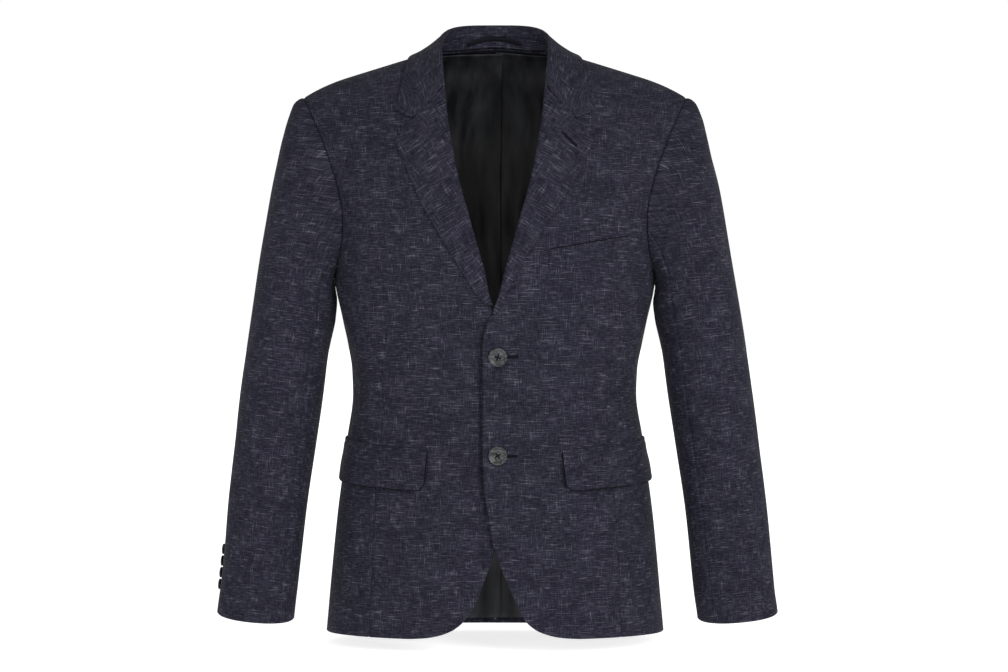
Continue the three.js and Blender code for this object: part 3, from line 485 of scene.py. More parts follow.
def build_fronts():
    knots = [*LOW_KNOTS, -232, -212, *shoulder_knots("front")]
    rows = refine(knots, 4.0, 3)[:, None]
    s = edged(58, 230)[None, :]
    for name, side in SIDES:
        edge = edge_tracks[side]

        def inside(turn):
            p = torso(turn, rows)
            return p[..., 0] < edge(p[..., 2]) + ROLL_BACK * ease(-309, -303, p[..., 2])

        inner = halve(np.full_like(rows, -20.0), np.full_like(rows, 75.0), inside)
        outer = np.where(rows <= JOIN_Z, front_seam(rows) - turn_of(SEAM / 2, 60, rows), arm_turn("front", rows))
        turn = mix(inner, outer, s)
        climb = np.minimum(rows, climb_top(turn))
        x = torso(turn, climb)[..., 0]
        level = climb + sag(turn, rows)
        move = torso_folds(side, turn, level)
        shut = ease(-640, -560, level) * (1 - ease(-345, -305, level))
        if side > 0:
            move = move + 1.4 * shut * np.exp(-(((x - CLOSED_EDGE) / 11) ** 2))
        else:
            tucked = np.where(x < 15, 1.0, np.exp(-(((x - 15) / 13) ** 2)))
            move = move - 4.2 * shut * tucked
        lift = overlap_lift(side, x, rows) + move * (1 - 0.85 * ease(20, 75, rows))
        facing = mix(*FACING_X, ease(-300, -60, level))
        lined = (x > facing) & (level > HEM_Z + TURN_UP["front"])
        piece = f"front_{name}"
        SURFACES[piece] = torso_piece(piece, side, turn, level, lift, ["last", "top"], ("first", "bottom"), lined=lined)


def build_sides():
    rows = refine([HEM_Z, -660, -400, -300, JOIN_Z], 4.0)[:, None]
    s = edged(36, 130)[None, :]

    def ends(z):
        return front_seam(z) + turn_of(SEAM / 2, 60, z), back_seam(z) - turn_of(SEAM / 2, 120, z)

    share = (rows - HEM_Z) / (JOIN_Z - HEM_Z)
    top = arm_z(mix(*ends(np.float64(JOIN_Z)), s))
    level = mix(HEM_Z, top, share)
    turn = mix(*ends(level), s)
    for name, side in SIDES:
        climb = level + sag(turn, level)
        move = torso_folds(side, turn, climb)
        where = {"shift": (0.0, 37.0), "lined": (climb + 0 * turn) > HEM_Z + TURN_UP["side"]}
        torso_piece(f"side_{name}", side, turn, climb, move, ["first", "last", "top"], ("bottom",), **where)


def back_lean(turn):
    across = ring(turn, APEX["back"])[0] * FLARE["back"] / 74
    return 90 - 18 * np.maximum(0, 1 - across * across) ** 0.6


def back_outer(level):
    return np.where(level <= JOIN_Z, back_seam(level) + turn_of(SEAM / 2, 120, level), arm_turn("back", level))


BACK_KNOTS = [HEM_Z, -660, -545, -450, -400, -320, -268, -248, -225, -190, *shoulder_knots("back")]


def build_backs():
    rows = refine(BACK_KNOTS, 4.0)[:, None]
    close = [0, 0.005, 0.011, 0.02]
    s = np.concatenate([close, refine([0.02, 0.3, 0.34], 0.02)[1:], refine([0.34, 0.4], 0.006)[1:]])
    s = np.concatenate([s, refine([0.4, 0.98], 0.02)[1:], [0.989, 0.995, 1]])[None, :]
    level = np.minimum(rows, APEX["back"])
    for name, side in SIDES:
        turn = mix(180 - turn_of(SEAM / 2, 180, level), back_outer(level), s)
        lean = np.maximum(0, rows - APEX["back"]) / CLIMB * back_lean(turn)
        leaning = np.minimum(APEX["back"] + lean / 90 * CLIMB, climb_top(turn))
        climb = np.where(rows > APEX["back"], leaning, level) + sag(turn, level)
        move = torso_folds(side, turn, climb) * (1 - 0.8 * ease(60, 115, rows))
        torso_piece(f"back_{name}", side, turn, climb, move, ["first", "last", "top"], ("bottom",), (0.0, 91.0))


LINING_FOLDS = numbers(
    """
30 -150 24 -330 5 13 1.3
52 -60 60 -330 -8 16 1.5
88 -90 82 -420 -6 18 1.7
20 -420 60 -640 8 18 1.6
95 -250 88 -600 6 20 1.6
"""
)
# Only on the wearer's right
LINING_CREASE = [(31, -8, 55, -50, -2, 3.2, 1.7), (22, -40, 58, -112, 5, 8.5, 1.6)]


def build_linings():
    knots = [-675, *BACK_KNOTS[1:]]
    rows = refine(knots, 5.0)[:, None]
    level = np.minimum(rows, APEX["back"])
    for name, side in SIDES:
        over = side < 0
        pleat = turn_of(7 if over else -0.4, 180, level)
        outer = back_outer(level) + turn_of(5.5, 120, level)
        shares = [np.linspace(-1, 0, 6), refine([0, 0.3], 0.016)[1:], refine([0.3, 1], 0.022)[1:]]
        s = np.concatenate(shares)[None, :]
        turn = np.where(s < 0, 180 - s * pleat, mix(180, outer, np.maximum(s, 0)))
        lean = np.maximum(0, rows - APEX["back"]) / CLIMB * back_lean(np.minimum(turn, 180))
        leaned = APEX["back"] + lean / 90 * CLIMB
        climb = np.where(rows > APEX["back"], mix(APEX["back"], leaned, 0.985), level) + sag(turn, level)
        nearness = 1 - ease(0, 17, 180 - turn)
        across = np.maximum(s, 0)
        depth = 3.9 + 2.5 * across**4 + (2.4 * nearness if over else 0)
        a = (180 - turn) * TORSO_ARC
        inward = folds(a, climb, LINING_FOLDS, 1.1 * side) + 1.2 + waves(a, climb, 9 + side, 75, 1.1)
        if over:
            inward = inward + folds(a, climb, LINING_CREASE, 0.3)
        p, n = sample(side * turn, climb, -depth - np.maximum(0, inward))
        uv = vec(run_lengths(p, 1), climb)
        grid_mesh(f"back_lining_{name}", p, n, LINING, uv, ("first", "bottom"), material="lining_satin")


LAPEL_EDGE = table(
    """
z reach shift
-303 2.5 0
-294 8 1
-280 17 4
-256 31 6
-222 51 6
-190 70 6
-160 88 3
-130 102 1
-101 115 0
"""
)
LAPEL_FOOT, LAPEL_TOP = {"left": -302.5, "right": -293}, -101
ROLL_RADIUS = 3.4


def roll_points(fold, along, out, radius, steps):
    angle = steps[:, None] * DEG
    return fold + along * radius + out * radius * np.sin(angle) - along * radius * np.cos(angle)


def skin_normals(p, sign):
    across = np.gradient(p, axis=1, edge_order=2)
    up = np.gradient(p, axis=0, edge_order=2)
    return unit(np.cross(across, up)) * sign


def build_lapels():
    reach, shift = track(LAPEL_EDGE, "z", "reach"), track(LAPEL_EDGE, "z", "shift")
    steps = np.linspace(-90, 90, 9)
    columns = np.concatenate([refine([0, 0.985], 0.045), [0.993, 1]])
    for name, side in SIDES:
        foot, lines = LAPEL_FOOT[name], []
        for t in refine([0, 0.05, 0.13, 0.25, 0.98, 1], 0.0125, 3):
            z_roll, z_edge = mix(foot, GORGE_Z, t), mix(foot, LAPEL_TOP, t)
            x_roll, x_edge = float(edge_tracks[side](z_roll)), float(reach(z_edge) - side * shift(z_edge))
            width = math.hypot(x_edge - x_roll, z_edge - z_roll)
            radius = max(2.1, min(ROLL_RADIUS, width * 0.33))

            def place(share, lift):
                share = np.atleast_1d(share)
                return on_front(side, mix(x_roll, x_edge, share), mix(z_roll, z_edge, share), lift)

            start, out = (q[0] for q in place(0, radius - CLOTH))
            along = unit(place(radius / width, radius - CLOTH)[0][0] - start)
            roll = roll_points(start, along, out, radius, steps)
            shares = mix(radius / width, 1, columns)
            curl = 0.9 * ease(0.55, 1, shares) * ease(0.1, 0.5, t) * (1 + 0.25 * math.sin(9 * t + side))
            spread = 1.6 * np.sin(math.pi * np.clip(shares, 0, 1)) * ease(0.05, 0.4, t)
            lying = place(shares, LYING + CLOTH + curl + spread)[0]
            gap = roll[-1] - lying[0]
            settled = lying[1:] + gap * ((1 - columns[1:]) ** max(1, 0.075 * width))[:, None]
            lines.append(np.concatenate([roll, settled]))
        p = np.array(lines)
        n = skin_normals(p, side)
        edge_way = np.array([0.52 * side, 0.0, 0.854])
        weft = np.array([0.854 * side, 0.0, -0.52])
        uv = vec(p @ weft, p @ edge_way + 13)
        grid_mesh(f"lapel_{name}", p, n, CLOTH, uv, ("last", "top", "first", "bottom"))
        SURFACES[f"lapel_{name}"] = (p, n)


COLLAR = table(
    """
at foldX foldY foldZ edgeX edgeY relax
0 0 44 44 0 66 1.1
0.15 20 42.5 43.8 33 64 1.1
0.3 38 35 42.2 62 56 1.1
0.45 53 21 37.5 80 38 1.2
0.6 62 1 27 91.5 8 1.4
0.72 63.5 -22 15.5 102 -20 1.9
0.84 62 -48 0 105.5 -48 3
0.93 60 -67 -19 109 -69 4.5
1 58.2 -82.5 -39.3 115 -84.4 6
"""
)
collar = {key: track(COLLAR, "at", key) for key in ("foldX", "foldY", "foldZ", "edgeX", "edgeY", "relax")}
COLLAR_LYING, NOTCH_SHARE, STAND_GAP, STAND_END = 1.4, 0.6, 0.3, 0.9
NOTCH_X, NOTCH_Z, NOTCH_GAP = 93, -77.5, 0.4


def below(x, y):
    """The torso's place under points seen from above, as turn and climb."""
    front = y < RIDGE_Y
    apex = np.where(front, APEX["front"], APEX["back"])

    def climb_for(turn):
        reach = ring(turn, apex)[1] - RIDGE_Y
        return apex + np.arccos(np.minimum(1, np.abs((y - RIDGE_Y) / reach))) / DEG / 90 * CLIMB

    near = np.where(front, 0.0, 180.0)
    turn = halve(near, near * 0 + 90, lambda m: torso(m, climb_for(m))[..., 0] < np.abs(x))
    return np.where(x < 0, -1, 1) * turn, climb_for(turn)


def surface(x, y, lift):
    turn, climb = below(np.atleast_1d(x), np.atleast_1d(y))
    return sample(turn, climb, lift)


def fold_at(w):
    v = min(abs(w), 1)
    return np.array([math.copysign(1, w) * collar["foldX"](v), collar["foldY"](v), collar["foldZ"](v)])


def neck_seam(x, y):
    if y < RIDGE_Y:

        def seam(z):
            z = np.atleast_1d(z)
            return on_front(1, edge_tracks[1](z) + ROLL_BACK, z)[0][0]

        low = float(halve(np.float64(GORGE_Z - ROLL_RADIUS), np.float64(ridge_z(74)), lambda z: seam(z)[1] < y, 26))
        return seam(low)

    def rim(turn):
        return torso(turn, APEX["back"] + back_lean(turn) / 90 * CLIMB)

    wanted = math.atan2(x, y + 14)

    def inside(turn):
        p = rim(turn)
        return math.atan2(p[0], p[1] + 14) < wanted

    return rim(float(halve(np.float64(180), np.float64(ARM_TURN["back"]), inside, 26)))


def collar_station(at, steps):
    side = -1 if at < 0 else 1
    u = abs(at)
    edge = side * float(collar["edgeX"](u)), float(collar["edgeY"](u))
    fold = fold_at(at)
    ground = surface(fold[0], fold[1], 0)[1][0]
    blend = float(ease(0.55, 1, u))
    fold = fold + ground * (ROLL_RADIUS - CLOTH) * blend
    tangent = unit(fold_at(at + 0.03) - fold_at(at - 0.03))
    leaf = surface(edge[0], edge[1], COLLAR_LYING + CLOTH)[0][0]
    tilted = mix(unit(leaf - fold), np.array([0, 0, -1.0]), 0.5 * (1 - blend))
    tilted = unit(tilted - tangent * tilted.dot(tangent))
    out = unit(np.cross(tangent, tilted))
    roll = roll_points(fold, tilted, out, ROLL_RADIUS, steps)
    flat_out = unit(np.array([out[0], out[1], 0]))
    foot = neck_seam(abs(fold[0]), fold[1]) * np.array([math.copysign(1, fold[0]) if fold[0] else 1, 1, 1])
    foot = foot - flat_out * (CLOTH + 1.1)
    over = min(0.45, 13 / length(roll[0] - foot))
    return side, u, edge, roll, foot, over


def build_collar():
    steps = np.linspace(-90, 90, 9)
    columns = np.concatenate([refine([0, NOTCH_SHARE], 0.05), refine([NOTCH_SHARE, 0.985], 0.05)[1:], [0.993, 1]])
    ends = refine([0, 0.12, 0.6, 0.86, 0.975], 0.014)
    ends = np.concatenate([ends, [0.982, 0.988, 0.994, 1]])
    stations = np.concatenate([-ends[:0:-1], ends])
    fall, stand = [], []
    for at in stations:
        side, u, edge, roll, foot, over = collar_station(float(at), steps)
        share = over * (1 - float(ease(0.85, 1, u)))
        inner = roll[0] + (foot - roll[0]) * np.linspace(share, 0, 6)[:-1, None]
        corner = on_front(side, np.array([NOTCH_X + NOTCH_GAP]), np.array([NOTCH_Z + NOTCH_GAP]))[0][0]
        kink = float(ease(0.86, 1, u))
        start = roll[-1]
        before = np.minimum(1, columns / NOTCH_SHARE)
        after = np.maximum(0, (columns - NOTCH_SHARE) / (1 - NOTCH_SHARE))
        x, y = (
            mix(mix(start[i], edge[i], columns), mix(mix(start[i], corner[i], before), edge[i], after), kink)
            for i in (0, 1)
        )
        lift = COLLAR_LYING + CLOTH + 0.9 * np.sin(math.pi * columns) + 0.5 * ease(0.7, 1, columns)
        lying = surface(x, y, lift)[0]
        gap = start - lying[0]
        settled = lying[1:] + gap * ((1 - columns[1:]) ** float(collar["relax"](u)))[:, None]
        fall.append(np.concatenate([inner, roll, settled]))
        if u <= STAND_END:
            begin = over + STAND_GAP / length(roll[0] - foot)
            stand.append(roll[0] + (foot - roll[0]) * np.linspace(begin, 1, 9)[:, None])
    p = np.array(fall)
    n = skin_normals(p, -1)
    uv = vec(run_lengths(p[:, 12:13], 0), run_lengths(p, 1) + 55)
    p = dips(p, n, ["first"], 0.7, 1.4)
    grid_mesh("collar_fall", p, n, CLOTH, uv, ("last", "top", "bottom"))
    p = np.array(stand)
    n = skin_normals(p, 1)
    uv = vec(run_lengths(p, 0), run_lengths(p, 1) + 7)
    grid_mesh("collar_stand", p, n, CLOTH, uv)


LOOP_HALF = 32


def build_loop():
    wall_y = collar_station(0.0, np.array([-90.0]))[3][0][1] - 2.4
    s = np.linspace(-1, 1, 41)
    across, arch = s * LOOP_HALF, 1 - s * s
    y = wall_y - 0.0085 * across**2 - 2.2 * arch
    up = np.linspace(0, 1, 6)
    p = np.array([vec(across, y - 0.5 * math.sin(math.pi * k), 17.5 + 7.5 * arch + 4.5 * k) for k in up])
    n = skin_normals(p, 1)
    uv = vec(run_lengths(p, 1), run_lengths(p, 0))
    loop = grid_mesh("hanger_loop", p, n, 1.1, uv, ("bottom", "top"), material="lining_satin")
    loop.data.materials[0] = MATERIALS["thread_dark"]


SLEEVE = table(
    """
at outX outZ inX inZ deep mid
0 229.9 -45.5 192.4 -262 61 3
1 240 -51.5 192.6 -264.5 63 2
2 248 -70 192.7 -268 65 1
3 257 -104 192.6 -273 66 0
4 266 -147 191.6 -280 65.5 -1
5 276 -205 189.8 -292 64 -2
6 286 -268 191 -312 61.5 -3
7 297 -340 199.5 -353 57.5 -3
8 304.5 -398 206.5 -405 54 -4
9 311 -458 215 -464 50.5 -9
10 317 -516 223 -522 47.5 -17
11 321.5 -573 229.3 -579.5 45 -26
12 327 -631 235.5 -638 43.5 -35
13 330 -657.5 238.5 -666 43 -40
"""
)
sleeve = {key: track(SLEEVE, "at", key) for key in ("outX", "outZ", "inX", "inZ", "deep", "mid")}
SLEEVE_SEAMS = table(
    """
at front back
0 118 246
6 126 250
9 128 262
13 128 300
"""
)
seam_front, seam_back = track(SLEEVE_SEAMS, "at", "front"), track(SLEEVE_SEAMS, "at", "back")
SLEEVE_END, CAP_END, ARM_GAP, CUFF_DIP, CUFF_LINING = 13, 6, 0.25, 4.5, 12.3
# The warp of a sleeve runs down its middle line
SLEEVE_AXIS = {side: unit(np.array([-0.125 * side, 0.05, 0.99])) for side in (1, -1)}


def armhole_point(side, phi):
    front = np.sin(phi * DEG) >= 0
    top = ridge_z(TIP_X)
    z = mix(ARMPIT_Z, top, (1 + np.cos(phi * DEG)) / 2)
    turn = np.where(front, arm_turn("front", z), arm_turn("back", z))
    straight = np.where(front, z > APEX["front"], z > APEX["back"])
    turn = np.where(straight, np.where(front, ARM_TURN["front"], ARM_TURN["back"]), turn)
    p = torso(turn, climb_at(turn, np.minimum(z, top - 1e-4)))
    return vec(side * (p[..., 0] + ARM_GAP), p[..., 1], p[..., 2])


def signed_power(v, power):
    return np.sign(v) * np.abs(v) ** power


def sleeve_point(side, at, phi):
    at, phi = np.broadcast_arrays(np.asarray(at, float), np.asarray(phi, float))
    cosine, sine = np.cos(phi * DEG), np.sin(phi * DEG)
    share = (1 + signed_power(cosine, 0.9)) / 2
    swing = mix(2.2, 6, share) * ease(0, SLEEVE_END, at) if side > 0 else 0
    ring_x = side * (mix(sleeve["inX"](at), sleeve["outX"](at), share) + swing)
    ring_y = sleeve["mid"](at) - sleeve["deep"](at) * signed_power(sine, 0.9)
    ring_z = mix(sleeve["inZ"](at), sleeve["outZ"](at), share) - CUFF_DIP * sine * ease(9, SLEEVE_END, at)
    cap_share = (1 + cosine) / 2
    drift = {key: sleeve[key](at) - sleeve[key](0.0) for key in ("inX", "inZ", "outX", "outZ")}
    drift_x, drift_z = (mix(drift["in" + axis], drift["out" + axis], cap_share) for axis in "XZ")
    cap = armhole_point(side, phi) + vec(side * drift_x, 0, drift_z)
    tube_point = vec(ring_x, ring_y, ring_z)
    return np.where((at >= CAP_END)[..., None], tube_point, mix(cap, tube_point, ease(0, CAP_END, at)[..., None]))


def sleeve_sample(side, at, phi, lift=0.0):
    low, high = np.maximum(0, at - 0.02), np.minimum(SLEEVE_END, at + 0.02)
    around = sleeve_point(side, at, phi + 0.5) - sleeve_point(side, at, phi - 0.5)
    down = sleeve_point(side, high, phi) - sleeve_point(side, low, phi)
    n = unit(np.cross(around, down)) * side
    return sleeve_point(side, at, phi) + n * np.asarray(lift, float)[..., None], n


# Folds of a sleeve: round it, in SLEEVE_ARC a degree from its outer side with 95 in front, and down it
SLEEVE_ARC, SLEEVE_STEP = 1.05, 50
SLEEVE_FOLDS = numbers(
    """
118 210 70 150 9 13 -2.2
122 262 62 232 -10 15 -2.0
128 300 84 330 8 14 1.7
30 90 20 215 8 20 -1.0
75 385 135 405 7 14 -2.2
70 425 130 432 -6 15 1.6
40 520 95 470 8 18 -1.5
100 560 60 640 -7 18 1.2
215 190 290 150 -9 15 -2.2
205 255 285 245 9 16 -1.9
225 395 300 375 8 16 1.7
235 440 300 470 -8 17 -1.8
310 250 320 420 10 22 1.2
-60 250 -50 420 10 22 1.2
-60 120 -30 180 6 18 -0.9
"""
)


def build_sleeves():
    at = refine([0, 0.5, 1, 6, 13], 0.075)
    at = np.concatenate([[0, 0.012, 0.03], at[1:]])[:, None]
    down = at * SLEEVE_STEP
    for name, side in SIDES:
        for piece, count, typical in (("top_sleeve", 72, 250), ("under_sleeve", 44, 150)):
            s = edged(count, typical)[None, :]
            gap = SEAM / 2 / sleeve["deep"](at) / DEG
            if piece == "top_sleeve":
                phi = mix(seam_back(at) - 360 + gap, seam_front(at) - gap, s)
            else:
                phi = mix(seam_front(at) + gap, seam_back(at) - gap, s)
            a = phi * SLEEVE_ARC
            move = folds(a, down, SLEEVE_FOLDS, 0.8 + side) + waves(a, down, 20 + side, 120, 1.2)
            move = move * ease(0.05, 1.6, at) * (1 - 0.7 * ease(12, 13, at))
            outside = ease(-0.2, 0.7, np.cos(phi * DEG))
            roping = 0.9 * np.exp(-(((at - 0.4) / 0.42) ** 2)) * outside
            p, n = sleeve_sample(side, at, phi, move + roping)
            uv = vec(side * a, p @ SLEEVE_AXIS[side])
            p = dips(p, n, ["first", "last"])
            p = dips(p, n, ["bottom"], 0.7, 1.3)
            grid_mesh(f"{piece}_{name}", p, n, CLOTH, uv, ("top",), at + 0 * phi < CUFF_LINING)


def build_armhole_seams():
    """The turned-in edges of cloth inside each armhole seam, which keep the light out."""
    phi = np.linspace(0, 360, 121)[:, None]
    reach = np.linspace(-2.5, 7, 5)[None, :]
    uv = vec(reach, phi)
    for name, side in SIDES:
        q, n = sleeve_sample(side, 0.02 + 0 * phi, phi)
        inside = q - n * (CLOTH + 0.5 + 0.16 * np.abs(reach))[..., None]
        p = inside - vec(side * reach, 0, 0)
        grid_mesh(f"armhole_seam_{name}", p, n + 0 * p, SEAM_EDGE, uv, replaced=False)


FLAP_LENGTH, FLAP_CORNER = 150, 12
# Each pocket piece from its front end, as an x, to its last, an x or for the flap a turn
WELT = {"first": 62, "last": 158, "slant": 4, "top": (-230, -213.5), "deep": (19.5, 22.5)}
FLAP = {"first": 79, "last": 90, "top": (-468, -457.5), "deep": (42, 44)}


def flap_top(share):
    return mix(*FLAP["top"], share)


def build_pockets():
    first = float(turn_at(np.float64(FLAP["first"]), np.float64(FLAP["top"][0])))
    tight = [0, 0.003, 0.008, 0.015, 0.025, 0.035, 0.05, 0.065, 0.08]
    share = np.concatenate([tight, refine([0.08, 0.92], 0.02)[1:], [1 - t for t in tight[-2::-1]]])
    turn = mix(first, FLAP["last"], share)[None, :]
    for name, side in SIDES:
        from_end = np.minimum(share, 1 - share) * FLAP_LENGTH
        inside = np.maximum(0, 1 - from_end / FLAP_CORNER)
        rounding = FLAP_CORNER * (1 - np.sqrt(1 - inside * inside))
        bottom = (flap_top(share) - mix(*FLAP["deep"], share) + rounding)[None, :]
        t = np.concatenate([[0, 0.02, 0.05], np.linspace(0.1, 1, 16)])[:, None]
        z = mix(bottom, flap_top(share)[None, :] + 1.5, t)
        uneven = (1 + 0.35 * np.sin(7 * share + side))[None, :]
        curl = mix(2.6, 1.5, share)[None, :] * (1 - ease(0, 0.75, t)) * uneven
        base = LYING + TRIM + 0.4 - 0.9 * ease(0.85, 1, t)
        lift = base + curl + torso_folds(side, turn, z)
        # The flaps' rims are painted near black: painted shade along their lifted edges
        look = {"thickness": TRIM, "shift": (2.0, -3.0), "lined": np.ones(z.shape, bool), "lip": 0.6, "painted_shade_rim": True}
        torso_piece(f"pocket_flap_{name}", side, turn, z, lift, (), ("first", "last", "bottom"), **look)
        t = np.linspace(0, 1, 9)[:, None]
        z, around = np.broadcast_arrays(flap_top(share)[None, :] + 0.4 + 5.5 * t, turn)
        puff = 0.9 * np.sqrt(np.maximum(0, 1 - (2 * t - 0.85) ** 2 / 1.4))
        lift = JET + 0.3 + puff + torso_folds(side, around, z)
        look = {"thickness": JET, "shift": (5.0, 9.0), "dip": (1.0, 1.1)}
        torso_piece(f"pocket_jet_{name}", side, around, z, lift, ["top"], ("bottom",), **look)
    s = np.concatenate([[0, 0.006, 0.014, 0.03], np.linspace(0.06, 0.94, 34), [0.97, 0.986, 0.994, 1]])[None, :]
    t = np.concatenate([[0, 0.03, 0.08], np.linspace(0.16, 0.84, 7), [0.92, 0.97, 1]])[:, None]
    x = mix(WELT["first"], WELT["last"] - WELT["slant"] * (1 - t), s)
    z = mix(*WELT["top"], s) - mix(*WELT["deep"], s) * (1 - t)
    turn = turn_at(x, z)
    p, n = on_front(1, x, z, LYING + TRIM + 0.35 * np.sin(math.pi * t) + torso_folds(1, turn, z))
    uv = torso_uv(1, p, z, turn) + np.array([-4.0, 6.0])
    p = dips(p, n, ["first", "last", "bottom"], 1.7, 1.5)
    grid_mesh("breast_welt", p, n, TRIM, uv, ("top",))
    # Painted shade: a near-black thread laid along the welt's top edge stands for the shadow in the pocket's mouth
    mouth = [nearest("front_left", mix(64, 156, k), mix(-229.2, -213.2, k), 0.5) for k in np.linspace(0, 1, 60)]
    add_mesh("breast_pocket_mouth_shade", *tube(mouth, 0.85, closed=False), "slit_dark")


def nearest(name, x, z, lift=0.0):
    """A point on or off a finished piece at a place seen from the front, by its closest grid points."""
    p, n = (part.reshape(-1, 3) for part in SURFACES[name])
    d = np.hypot(p[:, 0] - x, p[:, 2] - z)
    best = np.argsort(d)[:4]
    w = 1 / (d[best] + 0.05)
    q, m = (p[best] * w[:, None]).sum(0) / w.sum(), unit((n[best] * w[:, None]).sum(0))
    return np.array([x, q[1], z]) + m * lift


def add_mesh(name, points, faces, material, ride=True):
    mesh = bpy.data.meshes.new(name)
    mesh.from_pydata((np.array(points) * MM).tolist(), [], faces)
    mesh.polygons.foreach_set("use_smooth", np.ones(len(faces), dtype=bool))
    mesh.materials.append(MATERIALS[material])
    mesh.update()
    obj = link(bpy.data.objects.new(name, mesh))
    if ride:
        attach(obj, "root")
    return obj


def tube(path, radius, sides=8, closed=True):
    """Points and faces of a thread along a path."""
    path = np.array(path, float)
    count = len(path)
    following, before = np.roll(path, -1, 0), np.roll(path, 1, 0)
    if not closed:
        following[-1], before[0] = path[-1], path[0]
    tangent = unit(following - before)
    helper = np.where(np.abs(tangent[:, 1:2]) < 0.9, np.array([[0, 1.0, 0]]), np.array([[1.0, 0, 0]]))
    one = unit(np.cross(tangent, helper))
    two = np.cross(tangent, one)
    angle = np.arange(sides) * 2 * math.pi / sides
    radius = np.broadcast_to(np.asarray(radius, float), (count,))
    around = one[:, None] * np.cos(angle)[None, :, None] + two[:, None] * np.sin(angle)[None, :, None]
    points = path[:, None] + around * radius[:, None, None]
    faces = []
    for i in range(count if closed else count - 1):
        a, b = i * sides, (i + 1) % count * sides
        faces += [[a + k, a + (k + 1) % sides, b + (k + 1) % sides, b + k] for k in range(sides)]
    if not closed:
        faces += [list(range(sides))[::-1], [(count - 1) * sides + k for k in range(sides)]]
    return points.reshape(-1, 3), faces


def merge(parts):
    points, faces, start = [], [], 0
    for p, f in parts:
        points.append(p)
        faces += [[i + start for i in face] for face in f]
        start += len(p)
    return np.concatenate(points), faces


def buttonhole(name, piece, start, end, half=1.0, thread=0.8):
    """A worked hole: a thread ring round a slit, with the uneven edge that buttonhole stitches give."""
    start, end = np.array(start, float), np.array(end, float)
    along = (end - start) / length(end - start)
    side = np.array([-along[1], along[0]])
    path = []
    for a, b, sign in ((start, end, 1), (end, start, -1)):
        path += [mix(a, b, k / 26) + sign * side * half for k in range(26)]
        turns = [math.pi * k / 8 for k in range(8)]
        path += [b + sign * half * (side * math.cos(t) + along * math.sin(t)) for t in turns]
    on = [nearest(piece, x, z, 0.12) for x, z in path]
    radius = thread * (1 + 0.16 * np.sin(np.arange(len(on)) * 2.4))
    bar = [nearest(piece, *(start + side * half * k), 0.3) for k in np.linspace(-1.5, 1.5, 7)]
    parts = [tube(on, radius), tube(bar, thread * 1.15, closed=False)]
    add_mesh(name, *merge(parts), "thread_dark")
    # Painted shade: a near-black tube along the slit stands for the shadow in the cut
    slit = [nearest(piece, *mix(start, end, k), 0.02) for k in np.linspace(0, 1, 14)]
    add_mesh(name + "_slit_shade", *tube(slit, 0.65, closed=False), "slit_dark")


# Half of a button cut through, from below to above: shares of its radius and of its height
BUTTON_LINE = [(0, 0), (0.6, 0), (0.86, 0.12), (0.97, 0.32), (1, 0.55), (0.995, 0.78), (0.96, 0.94), (0.9, 1)]
BUTTON_LINE += [(0.83, 0.985), (0.77, 0.92), (0.72, 0.8), (0.68, 0.71), (0.6, 0.66), (0.4, 0.63), (0.2, 0.62)]
BUTTON_LINE += [(0, 0.62)]


def button(name, node, q, n, radius, thick, turned):
    """A four-hole button with a raised rim, sewn on with crossed thread."""
    sides = 48 if radius > 8 else 32
    one = unit(np.cross(np.array([0.0, 0, 1.0]), n))
    two = np.cross(n, one)
    c, s = math.cos(turned), math.sin(turned)
    one, two = one * c + two * s, two * c - one * s
    points, faces = [q], []
    for out, up in BUTTON_LINE[1:-1]:
        for k in range(sides):
            a = 2 * math.pi * k / sides
            points.append(q + (one * math.cos(a) + two * math.sin(a)) * out * radius + n * up * thick)
    last = len(points)
    points.append(q + n * thick * BUTTON_LINE[-1][1])
    for k in range(sides):
        m = (k + 1) % sides
        faces += [[0, 1 + m, 1 + k], [last, last - sides + k, last - sides + m]]
        for a in range(1, last - sides, sides):
            faces.append([a + k, a + m, a + sides + m, a + sides + k])
    obj = add_mesh(name, points, faces, "button_horn")
    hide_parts(node)
    reach, bore = radius * 0.2, radius * 0.085
    cutters = []
    for i, j in ((reach, reach), (reach, -reach), (-reach, reach), (-reach, -reach)):
        ends = [q + one * i + two * j + n * h for h in (-thick, thick * 2)]
        cutters.append(tube(ends, bore, 12, closed=False))
    cutter = add_mesh(name + "_cutter", *merge(cutters), "slit_dark", ride=False)
    bpy.context.view_layer.objects.active = obj
    hole = obj.modifiers.new("holes", "BOOLEAN")
    hole.operation, hole.solver, hole.object = "DIFFERENCE", "EXACT", cutter
    with bpy.context.temp_override(object=obj, active_object=obj, selected_objects=[obj]):
        bpy.ops.object.modifier_apply(modifier=hole.name)
    bpy.data.objects.remove(cutter)
    threads = []
    for k, across in enumerate((1, -1)):
        for shift in (-0.35, 0, 0.35):
            away = unit(two - one * across) * shift * bore * 1.3
            line = []
            for t in np.linspace(0, 1, 9):
                flat = (one + two * across) * (1 - 2 * t) * reach
                up = thick * (0.55 + 0.28 * math.sin(math.pi * t)) + k * 0.2
                line.append(q + flat + away + n * up)
            threads.append(tube(line, bore * 0.42, 6, closed=False))
    shank = [q - n * 0.8, q + n * thick * 0.5]
    threads.append(tube(shank, reach * 0.8, 10, closed=False))
    add_mesh(name + "_thread", *merge(threads), "thread_dark")


def sleeve_ring_at(z):
    return float(halve(np.float64(0), np.float64(SLEEVE_END), lambda m: sleeve["outZ"](m) > z))


# Radius and thickness
FRONT_BUTTON, CUFF_BUTTON = (11, 3.4), (6.4, 2.6)
BUTTON_X = 3.5
# The lowest cuff button's height, the way to the next and how far round the back each cuff carries them
CUFF_BUTTONS = {"first": -628, "pitch": 13.8, "left": 36.0, "right": 9.0}


